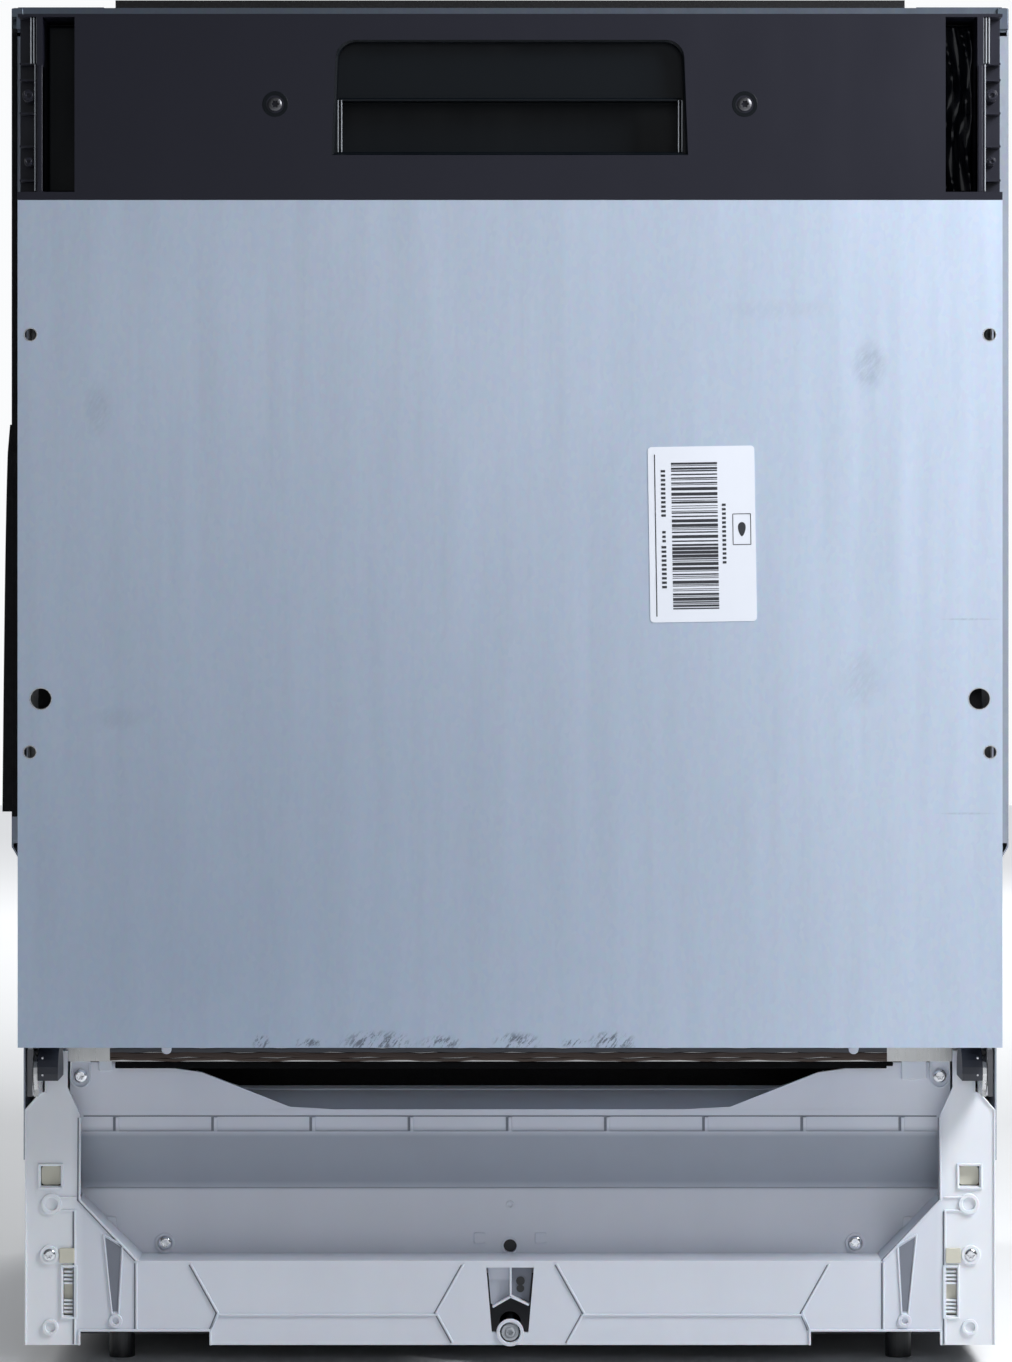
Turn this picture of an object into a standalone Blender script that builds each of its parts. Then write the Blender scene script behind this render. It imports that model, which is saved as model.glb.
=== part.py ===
"""A fully integrated built-in dishwasher, 60 cm class, with its door closed.

Metres, +Z up. X runs to the right seen from the front and Y towards the back.
The origin is on the floor under the middle of the machine.
"""

import math

import bmesh
import bpy
from mathutils import Matrix, Vector

# Overall size
WIDTH = 0.598
DEPTH = 0.550
HEIGHT = 0.820

# Clearances
FIT = 0.0003  # between neighbouring pieces that don't move
RUN = 0.0005  # round a turning or sliding piece

# Sheet and wall thicknesses
SHEET = 0.001
TUB_SHEET = 0.0015
PLASTIC = 0.0025

# Door
DOOR_INSET = 0.010
DOOR_THICKNESS = 0.052
DOOR_BOTTOM = 0.1974
DOOR_TOP_DROP = 0.0158
FASCIA_HEIGHT = 0.109
SEAL_GAP = 0.0035
GRIP_WIDTH = 0.209
GRIP_HEIGHT = 0.0675
GRIP_BELOW_TOP = 0.0153
GRIP_DEPTH = 0.026
POCKET_WIDTH = 0.0187
POCKET_INSET = 0.0147
CHANNEL_WIDTH = 0.0111
PANEL_HOLE_RADIUS = 0.0035
TEST_HOLE_RADIUS = 0.004
TEST_HOLE_Z = 0.0686
FIXING_HOLE_RADIUS = 0.0061
RIB_DROPS = (0.029, 0.0385, 0.058, 0.0775, 0.0975)
BUTTON_LENGTH = 0.014
BUTTON_WIDTH = 0.007
BUTTON_SETBACK = 0.0345
BUTTON_PROUD = 0.0012
BUTTON_PLACES = (-0.200, 0.120, 0.150, 0.180)

# Detergent dispenser
DISPENSER_WIDTH = 0.210
DISPENSER_HEIGHT = 0.110
DISPENSER_ABOVE_DOOR_BOTTOM = 0.225
DISPENSER_DEPTH = 0.038
DISPENSER_PROUD = 0.012
CUP_LOW_X = -0.095
CUP_HIGH_X = -0.040
CUP_HEIGHT = 0.080
RINSE_X = 0.066
RINSE_RADIUS = 0.018

# Door hinge
PIVOT_AHEAD = 0.020
PIVOT_DROP = 0.0174
PIN_RADIUS = 0.004
ARM_THICKNESS = 0.003
ARM_RADIUS = 0.0145
COVER_RADIUS = 0.0160
COVER_WIDTH = 0.012

# Plinth and base
BASE_AHEAD = 0.002
BASE_BOTTOM = 0.014
BASE_HALF_INSET = 0.0085
LEDGE_HEIGHT = 0.0643
RECESS_DEPTH = 0.030
TRAY_SETBACK = 0.036
TRAY_TOP = 0.150
FOOT_CUT_LOW = 0.1787
FOOT_CUT_HIGH = 0.2585
FOOT_CUT_RISE = 0.0088

# Feet
FOOT_X = 0.236
FOOT_PAD_RADIUS = 0.0078
FOOT_SHAFT_RADIUS = 0.005
FOOT_PAD_HEIGHT = 0.0215
FOOT_TOP = 0.080
REAR_PAD_RADIUS = 0.022

# Hose connections
HOSE_Z = 0.075
HOSE_RADIUS = 0.0105

# Wash tub
TUB_INSET = 0.0285
TUB_BOTTOM = 0.183
TUB_TOP_DROP = 0.020
WORKTOP_PAD = 0.055
TUB_BACK_GAP = 0.0125
SILL_TOP = 0.204
TRACK_TOP = 0.2050
TRACK_WIDTH = 0.030

# Washing parts
SPRAY_Y = 0.020
LOWER_ARM_RADIUS = 0.203
UPPER_ARM_RADIUS = 0.205
ARM_WIDTH = 0.040
ARM_HEIGHT = 0.012
PIVOT_RADIUS = 0.008
FILTER_X = 0.078
FILTER_Y = -0.062
FILTER_RADIUS = 0.040
SALT_X = -0.115
SALT_Y = -0.085
SALT_RADIUS = 0.026

# Racks
RACK_WIRE = 0.004
RACK_COLUMNS = 6
RACK_ROWS = 5
LOWER_RACK_HEIGHT = 0.145
UPPER_RACK_BOTTOM = 0.530
UPPER_RACK_HEIGHT = 0.130
WHEEL_RADIUS = 0.013
WHEEL_WIDTH = 0.010
BASKET_CELLS = 4

# Places that follow from the sizes above
SIDE = WIDTH / 2
FRONT = -DEPTH / 2
BACK = DEPTH / 2
DOOR_HALF = SIDE - DOOR_INSET
DOOR_BACK = FRONT + DOOR_THICKNESS
DOOR_TOP = HEIGHT - DOOR_TOP_DROP
SPLIT = DOOR_TOP - FASCIA_HEIGHT
CABINET_FRONT = DOOR_BACK + SEAL_GAP
PIVOT_Y = DOOR_BACK - PIVOT_AHEAD
PIVOT_Z = DOOR_BOTTOM - PIVOT_DROP
BASE_FACE = DOOR_BACK - BASE_AHEAD
BASE_HALF = SIDE - BASE_HALF_INSET
PANEL_FACE = BASE_FACE + RECESS_DEPTH
TRAY_FRONT = BASE_FACE + TRAY_SETBACK
FOOT_Y = TRAY_FRONT + 0.006
TRAY_BACK = BACK - 0.010
REAR_FOOT_Y = BACK - 0.065
SPINDLE_Z = BASE_BOTTOM + 0.0075
INLET_X = -SIDE + 0.085
TUB_HALF = SIDE - TUB_INSET
TUB_TOP = HEIGHT - TUB_TOP_DROP
TUB_BACK = BACK - TUB_BACK_GAP
TUB_FLOOR = TUB_BOTTOM + TUB_SHEET
CABINET_TOP = HEIGHT - 0.005
RACK_FRONT = CABINET_FRONT + 0.0295
RACK_BACK = TUB_BACK - 0.0275
RACK_HALF = TUB_HALF - 0.0235
WHEEL_Z = TRACK_TOP + 0.0005 + WHEEL_RADIUS
LOWER_RACK_BOTTOM = WHEEL_Z + WHEEL_RADIUS + 0.003
RAIL_Z = UPPER_RACK_BOTTOM + 0.090
GUIDE_FAR = TUB_HALF - TUB_SHEET - FIT
RAIL_FAR = GUIDE_FAR - 0.0020 - RUN
GRIP_TOP = DOOR_TOP - GRIP_BELOW_TOP
GRIP_BOTTOM = GRIP_TOP - GRIP_HEIGHT
BUTTON_Y = FRONT + BUTTON_SETBACK
STRIKE_Z = TUB_TOP - 0.0080
DISPENSER_HALF = DISPENSER_WIDTH / 2
DISPENSER_LOW = DOOR_BOTTOM + DISPENSER_ABOVE_DOOR_BOTTOM
DISPENSER_HIGH = DISPENSER_LOW + DISPENSER_HEIGHT
DISPENSER_FACE = DOOR_BACK + DISPENSER_PROUD
DISPENSER_MIDDLE = DISPENSER_LOW + DISPENSER_HEIGHT / 2
PUMP_Z = 0.125
SUMP_RADIUS = FILTER_RADIUS + 0.010
PUMP_JOINT_Y = FILTER_Y + SUMP_RADIUS + 0.025
LOWER_ARM_Z = TUB_FLOOR + 0.0200
UPPER_ARM_Z = UPPER_RACK_BOTTOM - 0.034
MANIFOLD_Z = UPPER_RACK_BOTTOM - 0.012
HINGE_FAR = DOOR_HALF - 0.0068


# Scene set-up


def clear_scene():
    for obj in list(bpy.data.objects):
        bpy.data.objects.remove(obj, do_unlink=True)


def new_collection(name):
    made = bpy.data.collections.new(name)
    bpy.context.scene.collection.children.link(made)
    return made


clear_scene()
PARTS = new_collection("built_in_dishwasher")
CUTTERS = new_collection("cutters")


def material(name, colour, roughness, metallic=0.0):
    made = bpy.data.materials.get(name)
    if made:
        return made
    made = bpy.data.materials.new(name)
    made.use_nodes = True
    shader = made.node_tree.nodes["Principled BSDF"]
    shader.inputs["Base Color"].default_value = (*colour, 1.0)
    shader.inputs["Roughness"].default_value = roughness
    shader.inputs["Metallic"].default_value = metallic
    return made


def galvanised_steel():
    return material("galvanised_steel", (0.46, 0.54, 0.68), 0.42, 0.75)


def stainless_steel():
    return material("stainless_steel", (0.62, 0.62, 0.61), 0.28, 1.0)


def bare_steel():
    return material("bare_steel", (0.50, 0.50, 0.50), 0.35, 1.0)


def fascia_plastic():
    return material("fascia_plastic", (0.022, 0.023, 0.034), 0.45)


def black_plastic():
    return material("black_plastic", (0.006, 0.009, 0.012), 0.35)


def dark_plastic():
    return material("dark_plastic", (0.045, 0.045, 0.055), 0.55)


def white_plastic():
    return material("white_plastic", (0.66, 0.68, 0.74), 0.50)


def grey_plastic():
    return material("grey_plastic", (0.30, 0.31, 0.33), 0.55)


def rack_coating():
    return material("rack_coating", (0.36, 0.38, 0.41), 0.45)


def seal_rubber():
    return material("seal_rubber", (0.03, 0.03, 0.03), 0.80)


def felt():
    return material("felt", (0.010, 0.010, 0.011), 0.95)


def circuit_board():
    return material("circuit_board", (0.03, 0.16, 0.07), 0.50)


# Shapes, each returned as a mesh in world coordinates


def mesh_from(bm):
    made = bpy.data.meshes.new("shape")
    bm.to_mesh(made)
    bm.free()
    return made


def box(low, high):
    low = Vector(low)
    high = Vector(high)
    bm = bmesh.new()
    size = high - low
    place = Matrix.Translation((low + high) / 2) @ Matrix.Diagonal((*size, 1))
    bmesh.ops.create_cube(bm, size=1.0, matrix=place)
    return mesh_from(bm)


def boxes(pairs):
    """Several boxes that don't touch, in one mesh."""
    bm = bmesh.new()
    for low, high in pairs:
        bm.from_mesh(box(low, high))
    return mesh_from(bm)


def rod(start, end, radius, segments=24):
    start = Vector(start)
    end = Vector(end)
    span = end - start
    turn = span.to_track_quat("Z", "Y").to_matrix().to_4x4()
    place = Matrix.Translation((start + end) / 2) @ turn
    bm = bmesh.new()
    bmesh.ops.create_cone(
        bm,
        cap_ends=True,
        segments=segments,
        radius1=radius,
        radius2=radius,
        depth=span.length,
        matrix=place,
    )
    return mesh_from(bm)


def mesh_from_curve(curve, place):
    obj = bpy.data.objects.new("outline", curve)
    obj.matrix_world = place
    CUTTERS.objects.link(obj)
    bpy.context.view_layer.update()
    graph = bpy.context.evaluated_depsgraph_get()
    made = bpy.data.meshes.new_from_object(obj.evaluated_get(graph))
    made.transform(place)
    bpy.data.objects.remove(obj, do_unlink=True)
    bm = bmesh.new()
    bm.from_mesh(made)
    bmesh.ops.remove_doubles(bm, verts=bm.verts, dist=0.00001)
    bmesh.ops.recalc_face_normals(bm, faces=bm.faces)
    bm.to_mesh(made)
    bm.free()
    return made


def prism(outlines, low, high, axis):
    """Outlines filled and drawn out along an axis, from low to high.

    Along X an outline's points are (y, z), along Y they are (x, z) and along Z (x, y).
    Every outline after the first is a hole.
    """
    curve = bpy.data.curves.new("outline", "CURVE")
    curve.dimensions = "2D"
    curve.fill_mode = "BOTH"
    curve.extrude = (high - low) / 2
    for points in outlines:
        spline = curve.splines.new("POLY")
        spline.points.add(len(points) - 1)
        for point, (u, v) in zip(spline.points, points):
            point.co = (u, v, 0, 1)
        spline.use_cyclic_u = True
    middle = (low + high) / 2
    turns = {
        "X": Matrix(((0, 0, 1, middle), (1, 0, 0, 0), (0, 1, 0, 0), (0, 0, 0, 1))),
        "Y": Matrix(((1, 0, 0, 0), (0, 0, -1, middle), (0, 1, 0, 0), (0, 0, 0, 1))),
        "Z": Matrix(((1, 0, 0, 0), (0, 1, 0, 0), (0, 0, 1, middle), (0, 0, 0, 1))),
    }
    return mesh_from_curve(curve, turns[axis])


def tube(points, radius):
    curve = bpy.data.curves.new("tube", "CURVE")
    curve.dimensions = "3D"
    curve.bevel_depth = radius
    curve.bevel_resolution = 2
    curve.use_fill_caps = True
    spline = curve.splines.new("POLY")
    spline.points.add(len(points) - 1)
    for point, place in zip(spline.points, points):
        point.co = (*place, 1)
    return mesh_from_curve(curve, Matrix.Identity(4))


def rounded(points, radius, steps=4):
    """The outline with each corner turned into an arc."""
    made = []
    count = len(points)
    for index, corner in enumerate(points):
        corner = Vector(corner)
        before = (Vector(points[index - 1]) - corner).normalized()
        after = (Vector(points[(index + 1) % count]) - corner).normalized()
        half = before.angle(after) / 2
        reach = radius / math.tan(half)
        centre = corner + (before + after).normalized() * radius / math.sin(half)
        first = corner + before * reach - centre
        swing = first.angle_signed(corner + after * reach - centre)
        for step in range(steps + 1):
            turn = Matrix.Rotation(-swing * step / steps, 2)
            made.append(tuple(centre + turn @ first))
    return made


def rectangle(low, high):
    return [(low[0], low[1]), (high[0], low[1]), (high[0], high[1]), (low[0], high[1])]


def band(points, thickness):
    """A closed outline of one thickness that follows an open line of points, to its right."""
    points = [Vector(point) for point in points]
    offset = []
    for index, point in enumerate(points):
        before = points[max(index - 1, 0)]
        after = points[min(index + 1, len(points) - 1)]
        sides = []
        for start, end in ((before, point), (point, after)):
            run = end - start
            if run.length > 0:
                run.normalize()
                sides.append(Vector((run.y, -run.x)))
        normal = sum(sides, Vector((0, 0))).normalized()
        offset.append(point + normal * thickness / normal.dot(sides[0]))
    return [tuple(point) for point in points + offset[::-1]]


# Objects


def helper(name, mesh):
    made = bpy.data.objects.new(name, mesh)
    made.hide_render = True
    made.display_type = "WIRE"
    CUTTERS.objects.link(made)
    return made


def boolean(obj, mesh, operation):
    modifier = obj.modifiers.new(operation.lower(), "BOOLEAN")
    modifier.operation = operation
    modifier.solver = "EXACT"
    modifier.object = helper(f"{obj.name}_{operation.lower()}", mesh)


def solid(name, finish, base, adds=(), cuts=(), origin=(0, 0, 0)):
    """One sub-part: a base shape with shapes joined to it and others cut from it."""
    base.transform(Matrix.Translation(-Vector(origin)))
    base.materials.append(finish)
    base.name = name
    made = bpy.data.objects.new(name, base)
    made.location = origin
    PARTS.objects.link(made)
    for shape in adds:
        boolean(made, shape, "UNION")
    for shape in cuts:
        boolean(made, shape, "DIFFERENCE")
    return made


def smooth(obj):
    obj.data.shade_smooth()
    obj.data.set_sharp_from_angle(angle=math.radians(30))
    return obj


def sides():
    return (("left", -1), ("right", 1))


def across(side, near, far):
    """Two distances from the middle plane as an ordered pair of X values."""
    return tuple(sorted((side * near, side * far)))


def side_box(side, near, far, low, high):
    x = across(side, near, far)
    return box((x[0], low[0], low[1]), (x[1], high[0], high[1]))


# Base


def mirrored_outline(half):
    return half + [(-x, z) for x, z in reversed(half)]


def base_front():
    neck_top = DOOR_BOTTOM - 0.0074
    half = [
        (FOOT_CUT_LOW, BASE_BOTTOM),
        (FOOT_CUT_LOW, BASE_BOTTOM + FOOT_CUT_RISE),
        (FOOT_CUT_HIGH, BASE_BOTTOM + FOOT_CUT_RISE),
        (FOOT_CUT_HIGH, BASE_BOTTOM),
        (BASE_HALF, BASE_BOTTOM),
        (BASE_HALF, neck_top - 0.0352),
        (BASE_HALF - 0.0090, neck_top - 0.0251),
        (BASE_HALF - 0.0119, neck_top - 0.0247),
        (BASE_HALF - 0.0119, neck_top),
        (BASE_HALF - 0.0255, neck_top),
        (BASE_HALF - 0.0255, neck_top - 0.0220),
        (BASE_HALF - 0.0330, neck_top - 0.0382),
        (BASE_HALF - 0.0320, LEDGE_HEIGHT + 0.0366),
        (BASE_HALF - 0.0681, LEDGE_HEIGHT),
    ]
    face_back = BASE_FACE + 0.003
    plate = prism([mirrored_outline(half)], BASE_FACE, face_back, "Y")
    ledge_half = BASE_HALF - 0.0681
    shelf_back = PANEL_FACE - FIT
    ledge = box(
        (-ledge_half, BASE_FACE + 0.001, LEDGE_HEIGHT - PLASTIC),
        (ledge_half, shelf_back, LEDGE_HEIGHT - 0.0001),
    )
    adds = [ledge]
    for _, side in sides():
        slope = [
            (side * (ledge_half - 0.001), LEDGE_HEIGHT - PLASTIC),
            (side * (ledge_half - 0.001), LEDGE_HEIGHT - 0.0002),
            (side * ledge_half, LEDGE_HEIGHT - 0.0002),
            (side * (BASE_HALF - 0.0322), LEDGE_HEIGHT + 0.0362),
            (side * (BASE_HALF - 0.0300), LEDGE_HEIGHT + 0.0350),
            (side * (ledge_half + 0.002), LEDGE_HEIGHT - PLASTIC),
        ]
        adds.append(prism([slope], BASE_FACE + 0.001, shelf_back, "Y"))
        wall_low = (BASE_FACE + 0.001, BASE_BOTTOM + 0.0001)
        wall_high = (TRAY_FRONT - FIT, neck_top - 0.0360)
        adds.append(side_box(side, BASE_HALF - PLASTIC, BASE_HALF - 0.0001, wall_low, wall_high))
    cuts = []
    window_x = BASE_HALF - 0.0155
    for _, side in sides():
        low = (BASE_FACE - 0.001, BASE_BOTTOM + 0.095)
        high = (face_back + 0.001, BASE_BOTTOM + 0.107)
        cuts.append(side_box(side, window_x - 0.006, window_x + 0.006, low, high))
        low = (BASE_FACE - 0.001, BASE_BOTTOM + 0.0175)
        high = (face_back + 0.001, BASE_BOTTOM + 0.0460)
        cuts.append(side_box(side, BASE_HALF - 0.0300, BASE_HALF - 0.0230, low, high))
    pocket_top = LEDGE_HEIGHT - 0.004
    pocket = [
        (-0.0143, pocket_top),
        (0.0143, pocket_top),
        (0.0110, SPINDLE_Z),
        (-0.0110, SPINDLE_Z),
    ]
    cuts.append(prism([pocket], BASE_FACE - 0.001, face_back + 0.001, "Y"))
    cuts.append(rod((0, BASE_FACE - 0.001, SPINDLE_Z), (0, face_back + 0.001, SPINDLE_Z), 0.0060))
    return solid("base_front", white_plastic(), plate, adds, cuts)


def service_panel():
    """The recessed panel behind the plinth: flat below, then sloping forward to a lip."""
    half = BASE_HALF - 0.0260
    slope_low = LEDGE_HEIGHT + 0.0394
    slope_high = slope_low + 0.0366
    upper_face = BASE_FACE + 0.010
    line = [
        (PANEL_FACE, LEDGE_HEIGHT - 0.012),
        (PANEL_FACE, slope_low),
        (upper_face, slope_high),
        (upper_face, slope_high + 0.0135),
    ]
    lower = prism([band(line, PLASTIC)], -half, half, "X")
    lip_bottom = slope_high + 0.0030
    shoulder = TUB_BOTTOM - 0.001
    dip = slope_high + 0.0130
    upper = [
        (half, lip_bottom),
        (half, shoulder),
        (half * 0.86, shoulder),
        (half * 0.70, shoulder - 0.0060),
        (half * 0.50, dip + 0.002),
        (half * 0.36, dip),
        (-half * 0.36, dip),
        (-half * 0.50, dip + 0.002),
        (-half * 0.70, shoulder - 0.0060),
        (-half * 0.86, shoulder),
        (-half, shoulder),
        (-half, lip_bottom),
    ]
    adds = [prism([upper], upper_face + 0.0001, upper_face + PLASTIC, "Y")]
    lip = band([(upper_face + 0.0002, dip - 0.001), (upper_face + 0.026, dip + 0.012)], PLASTIC)
    adds.append(prism([lip], -half * 0.70, half * 0.70, "X"))
    start = (0, PANEL_FACE - 0.01, TEST_HOLE_Z)
    cuts = [rod(start, (0, PANEL_FACE + 0.01, TEST_HOLE_Z), TEST_HOLE_RADIUS)]
    return solid("service_panel", white_plastic(), lower, adds, cuts)


def base_tray():
    """The open box under the tub. It carries the tub and the pumps, and is bored for the feet."""
    half = BASE_HALF - 0.0001
    floor = BASE_BOTTOM + 0.0005
    top = TUB_BOTTOM - FIT
    outer = box((-half, TRAY_FRONT, floor), (half, TRAY_BACK, top))
    inner = box(
        (-half + PLASTIC, TRAY_FRONT + PLASTIC, floor + PLASTIC),
        (half - PLASTIC, TRAY_BACK - PLASTIC, top + 0.01),
    )
    mouth_low = (-half + PLASTIC, TRAY_FRONT - 0.01, TRAY_TOP)
    mouth = box(mouth_low, (half - PLASTIC, TRAY_FRONT + 0.01, top + 0.01))
    tray = solid("base_tray", dark_plastic(), outer, [], [inner, mouth])
    for _, side in sides():
        low = (TRAY_FRONT + 0.0005, floor + 0.0005)
        high = (TRAY_BACK - 0.0005, top)
        near = TUB_HALF - 0.0105
        boolean(tray, side_box(side, near, near + PLASTIC, low, high), "UNION")
    bore = FOOT_SHAFT_RADIUS + RUN
    boss_top = FOOT_TOP - 0.006
    front_spots = [(side * FOOT_X, FOOT_Y) for _, side in sides()]
    for x, y in front_spots:
        boss = rod((x, y, FOOT_PAD_HEIGHT + 0.001), (x, y, boss_top), bore + 0.0035)
        boolean(tray, boss, "UNION")
    boss_low = (0, REAR_FOOT_Y, floor + PLASTIC / 2)
    boolean(tray, rod(boss_low, (0, REAR_FOOT_Y, boss_top), bore + 0.0035), "UNION")
    for x, y in front_spots + [(0, REAR_FOOT_Y)]:
        boolean(tray, rod((x, y, 0), (x, y, FOOT_TOP + 0.01), bore), "DIFFERENCE")
    for x, y in front_spots:
        room = rod((x, y, 0), (x, y, FOOT_PAD_HEIGHT + 0.0005), FOOT_PAD_RADIUS + 0.002)
        boolean(tray, room, "DIFFERENCE")
    room_top = (0, REAR_FOOT_Y, floor + 0.001)
    boolean(tray, rod((0, REAR_FOOT_Y, 0), room_top, REAR_PAD_RADIUS + 0.002), "DIFFERENCE")
    for x, y, z, radius in (
        (0, TRAY_FRONT, SPINDLE_Z, 0.0065),
        (INLET_X, TRAY_BACK, HOSE_Z, HOSE_RADIUS + 0.001),
        (-INLET_X, TRAY_BACK, HOSE_Z, HOSE_RADIUS + 0.001),
    ):
        boolean(tray, rod((x, y - 0.01, z), (x, y + 0.01, z), radius), "DIFFERENCE")
    return tray


# Feet


def front_foot(name, side):
    x = side * FOOT_X
    pad = rod((x, FOOT_Y, 0), (x, FOOT_Y, FOOT_PAD_HEIGHT), FOOT_PAD_RADIUS)
    shaft = rod((x, FOOT_Y, 0.005), (x, FOOT_Y, FOOT_TOP), FOOT_SHAFT_RADIUS)
    origin = (x, FOOT_Y, 0)
    return smooth(solid(name, black_plastic(), pad, [shaft], [], origin))


def rear_foot():
    low = (0, REAR_FOOT_Y, 0)
    pad = rod(low, (0, REAR_FOOT_Y, 0.010), REAR_PAD_RADIUS)
    shaft = rod((0, REAR_FOOT_Y, 0.005), (0, REAR_FOOT_Y, FOOT_TOP), FOOT_SHAFT_RADIUS)
    return smooth(solid("rear_foot", black_plastic(), pad, [shaft], [], low))


def rear_foot_shaft():
    """The long spindle that is turned from the plinth to set the rear foot."""
    z = SPINDLE_Z
    start = BASE_FACE + 0.0005
    end = REAR_FOOT_Y - FOOT_SHAFT_RADIUS - 0.0065
    head = rod((0, start, z), (0, start + 0.006, z), 0.0052)
    stem = rod((0, start + 0.003, z), (0, end, z), 0.0025, 12)
    pinion = rod((0, end - 0.006, z), (0, end, z), 0.0038, 16)
    return smooth(solid("rear_foot_shaft", grey_plastic(), head, [stem, pinion], [], (0, start, z)))


# Cabinet


def wash_tub():
    """Stainless tub, open at the front, with a flange round its mouth and a sunk sump hole."""
    outer_low = (-TUB_HALF, CABINET_FRONT + 0.0005, TUB_BOTTOM)
    outer = box(outer_low, (TUB_HALF, TUB_BACK, TUB_TOP - FIT))
    inner = box(
        (-TUB_HALF + TUB_SHEET, CABINET_FRONT - 0.01, TUB_FLOOR),
        (TUB_HALF - TUB_SHEET, TUB_BACK - TUB_SHEET, TUB_TOP - FIT - TUB_SHEET),
    )
    rim_half = DOOR_HALF - 0.0025
    mouth_half = TUB_HALF - 0.0010
    rim = rectangle((-rim_half, TUB_BOTTOM + 0.0003), (rim_half, TUB_TOP - 0.0008))
    mouth = rectangle((-mouth_half, SILL_TOP), (mouth_half, TUB_TOP - 0.0225))
    flange = prism([rim, mouth], CABINET_FRONT, CABINET_FRONT + TUB_SHEET, "Y")
    tub = solid("wash_tub", stainless_steel(), outer, [], [inner])
    boolean(tub, flange, "UNION")
    for _, side in sides():
        low = (CABINET_FRONT + 0.0010, TUB_BOTTOM + 0.0006)
        high = (TUB_BACK - 0.0005, TRACK_TOP)
        inner_edge = TUB_HALF - TUB_SHEET - TRACK_WIDTH
        boolean(tub, side_box(side, inner_edge, TUB_HALF - 0.0005, low, high), "UNION")
    holes = ((FILTER_X, FILTER_Y, SUMP_RADIUS + 0.002), (SALT_X, SALT_Y, SALT_RADIUS - 0.004))
    for x, y, radius in holes:
        hole = rod((x, y, TUB_BOTTOM - 0.01), (x, y, TUB_FLOOR + 0.01), radius, 32)
        boolean(tub, hole, "DIFFERENCE")
    return tub


def tub_seal():
    half = TUB_HALF + 0.006
    outer = rectangle((-half, SILL_TOP - 0.0055), (half, TUB_TOP - 0.0145))
    inner = rectangle((-half + 0.008, SILL_TOP - 0.0005), (half - 0.008, TUB_TOP - 0.0215))
    seal = prism(
        [rounded(outer, 0.012), rounded(inner, 0.006)],
        DOOR_BACK + FIT,
        CABINET_FRONT - FIT,
        "Y",
    )
    return solid("tub_seal", seal_rubber(), seal)


def top_crossbar():
    """The folded bar over the door that joins the two side panels."""
    line = [
        (CABINET_FRONT + 0.050, CABINET_TOP),
        (CABINET_FRONT, CABINET_TOP),
        (CABINET_FRONT, TUB_TOP + FIT),
    ]
    half = SIDE - SHEET - 2 * FIT
    bar = prism([band(list(reversed(line)), SHEET * 1.5)], -half, half, "X")
    pads = []
    for _, side in sides():
        low = (CABINET_FRONT + 0.003, CABINET_TOP - 0.0005)
        high = (CABINET_FRONT + 0.047, CABINET_TOP + 0.0008)
        pads.append(side_box(side, SIDE - WORKTOP_PAD, half - 0.002, low, high))
    return solid("top_crossbar", galvanised_steel(), bar, pads)


def top_cover():
    low = (-SIDE, CABINET_FRONT + 0.0505, CABINET_TOP - SHEET)
    return solid("top_cover", galvanised_steel(), box(low, (SIDE, BACK, CABINET_TOP)))


def top_felt_mat():
    low = (-SIDE + 0.062, CABINET_FRONT + 0.003, CABINET_TOP + FIT)
    high = (SIDE - 0.062, BACK - 0.060, HEIGHT)
    return solid("top_felt_mat", felt(), box(low, high))


def side_panel(name, side):
    """Pressed sheet: narrow beside the base, stepped out over the rest of its height."""
    step = TRAY_TOP + 0.150
    line = [
        (side * (BASE_HALF + FIT), BASE_BOTTOM + 0.110),
        (side * (BASE_HALF + FIT), step),
        (side * (SIDE - SHEET), step + 0.012),
        (side * (SIDE - SHEET), CABINET_TOP - 0.003),
    ]
    if side < 0:
        line.reverse()
    panel = prism([band(line, SHEET)], CABINET_FRONT, BACK - SHEET - FIT, "Y")
    lip = side_box(
        side,
        DOOR_HALF - 0.0020,
        SIDE - 0.0002,
        (CABINET_FRONT, step + 0.014),
        (CABINET_FRONT + SHEET, CABINET_TOP - 0.017),
    )
    return solid(name, galvanised_steel(), panel, [lip])


def rear_panel():
    half = BASE_HALF - 0.004
    low = (-half, BACK - SHEET, BASE_BOTTOM + 0.106)
    sheet = box(low, (half, BACK, CABINET_TOP - SHEET - FIT))
    ribs = []
    for x in (-half / 2, 0, half / 2):
        rib_low = (x - 0.012, BACK - 0.006, TUB_BOTTOM + 0.067)
        ribs.append(box(rib_low, (x + 0.012, BACK - 0.0005, CABINET_TOP - 0.095)))
    return solid("rear_panel", galvanised_steel(), sheet, ribs)


def door_strike():
    z = STRIKE_Z
    plate = box((-0.020, DOOR_BACK + 0.0006, z - 0.006), (0.020, CABINET_FRONT - FIT, z + 0.006))
    tongue = box((-0.011, DOOR_BACK - 0.0165, z - 0.00125), (0.011, DOOR_BACK + 0.002, z + 0.00125))
    eye = box((-0.006, DOOR_BACK - 0.0125, z - 0.003), (0.006, DOOR_BACK - 0.0065, z + 0.003))
    return solid("door_strike", bare_steel(), plate, [tongue], [eye])


# Under the tub


def sump():
    top = TUB_BOTTOM - FIT
    centre = (FILTER_X, FILTER_Y)
    flange = rod((*centre, top - 0.006), (*centre, top), SUMP_RADIUS + 0.010, 32)
    bowl = rod((*centre, 0.100), (*centre, top - 0.003), SUMP_RADIUS, 32)
    hollow = rod((*centre, 0.104), (*centre, top + 0.01), SUMP_RADIUS - 0.004, 32)
    spout_start = (FILTER_X, FILTER_Y + SUMP_RADIUS - 0.010, PUMP_Z)
    spout = rod(spout_start, (FILTER_X, PUMP_JOINT_Y, PUMP_Z), 0.018)
    return smooth(solid("sump", grey_plastic(), flange, [bowl, spout], [hollow]))


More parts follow.
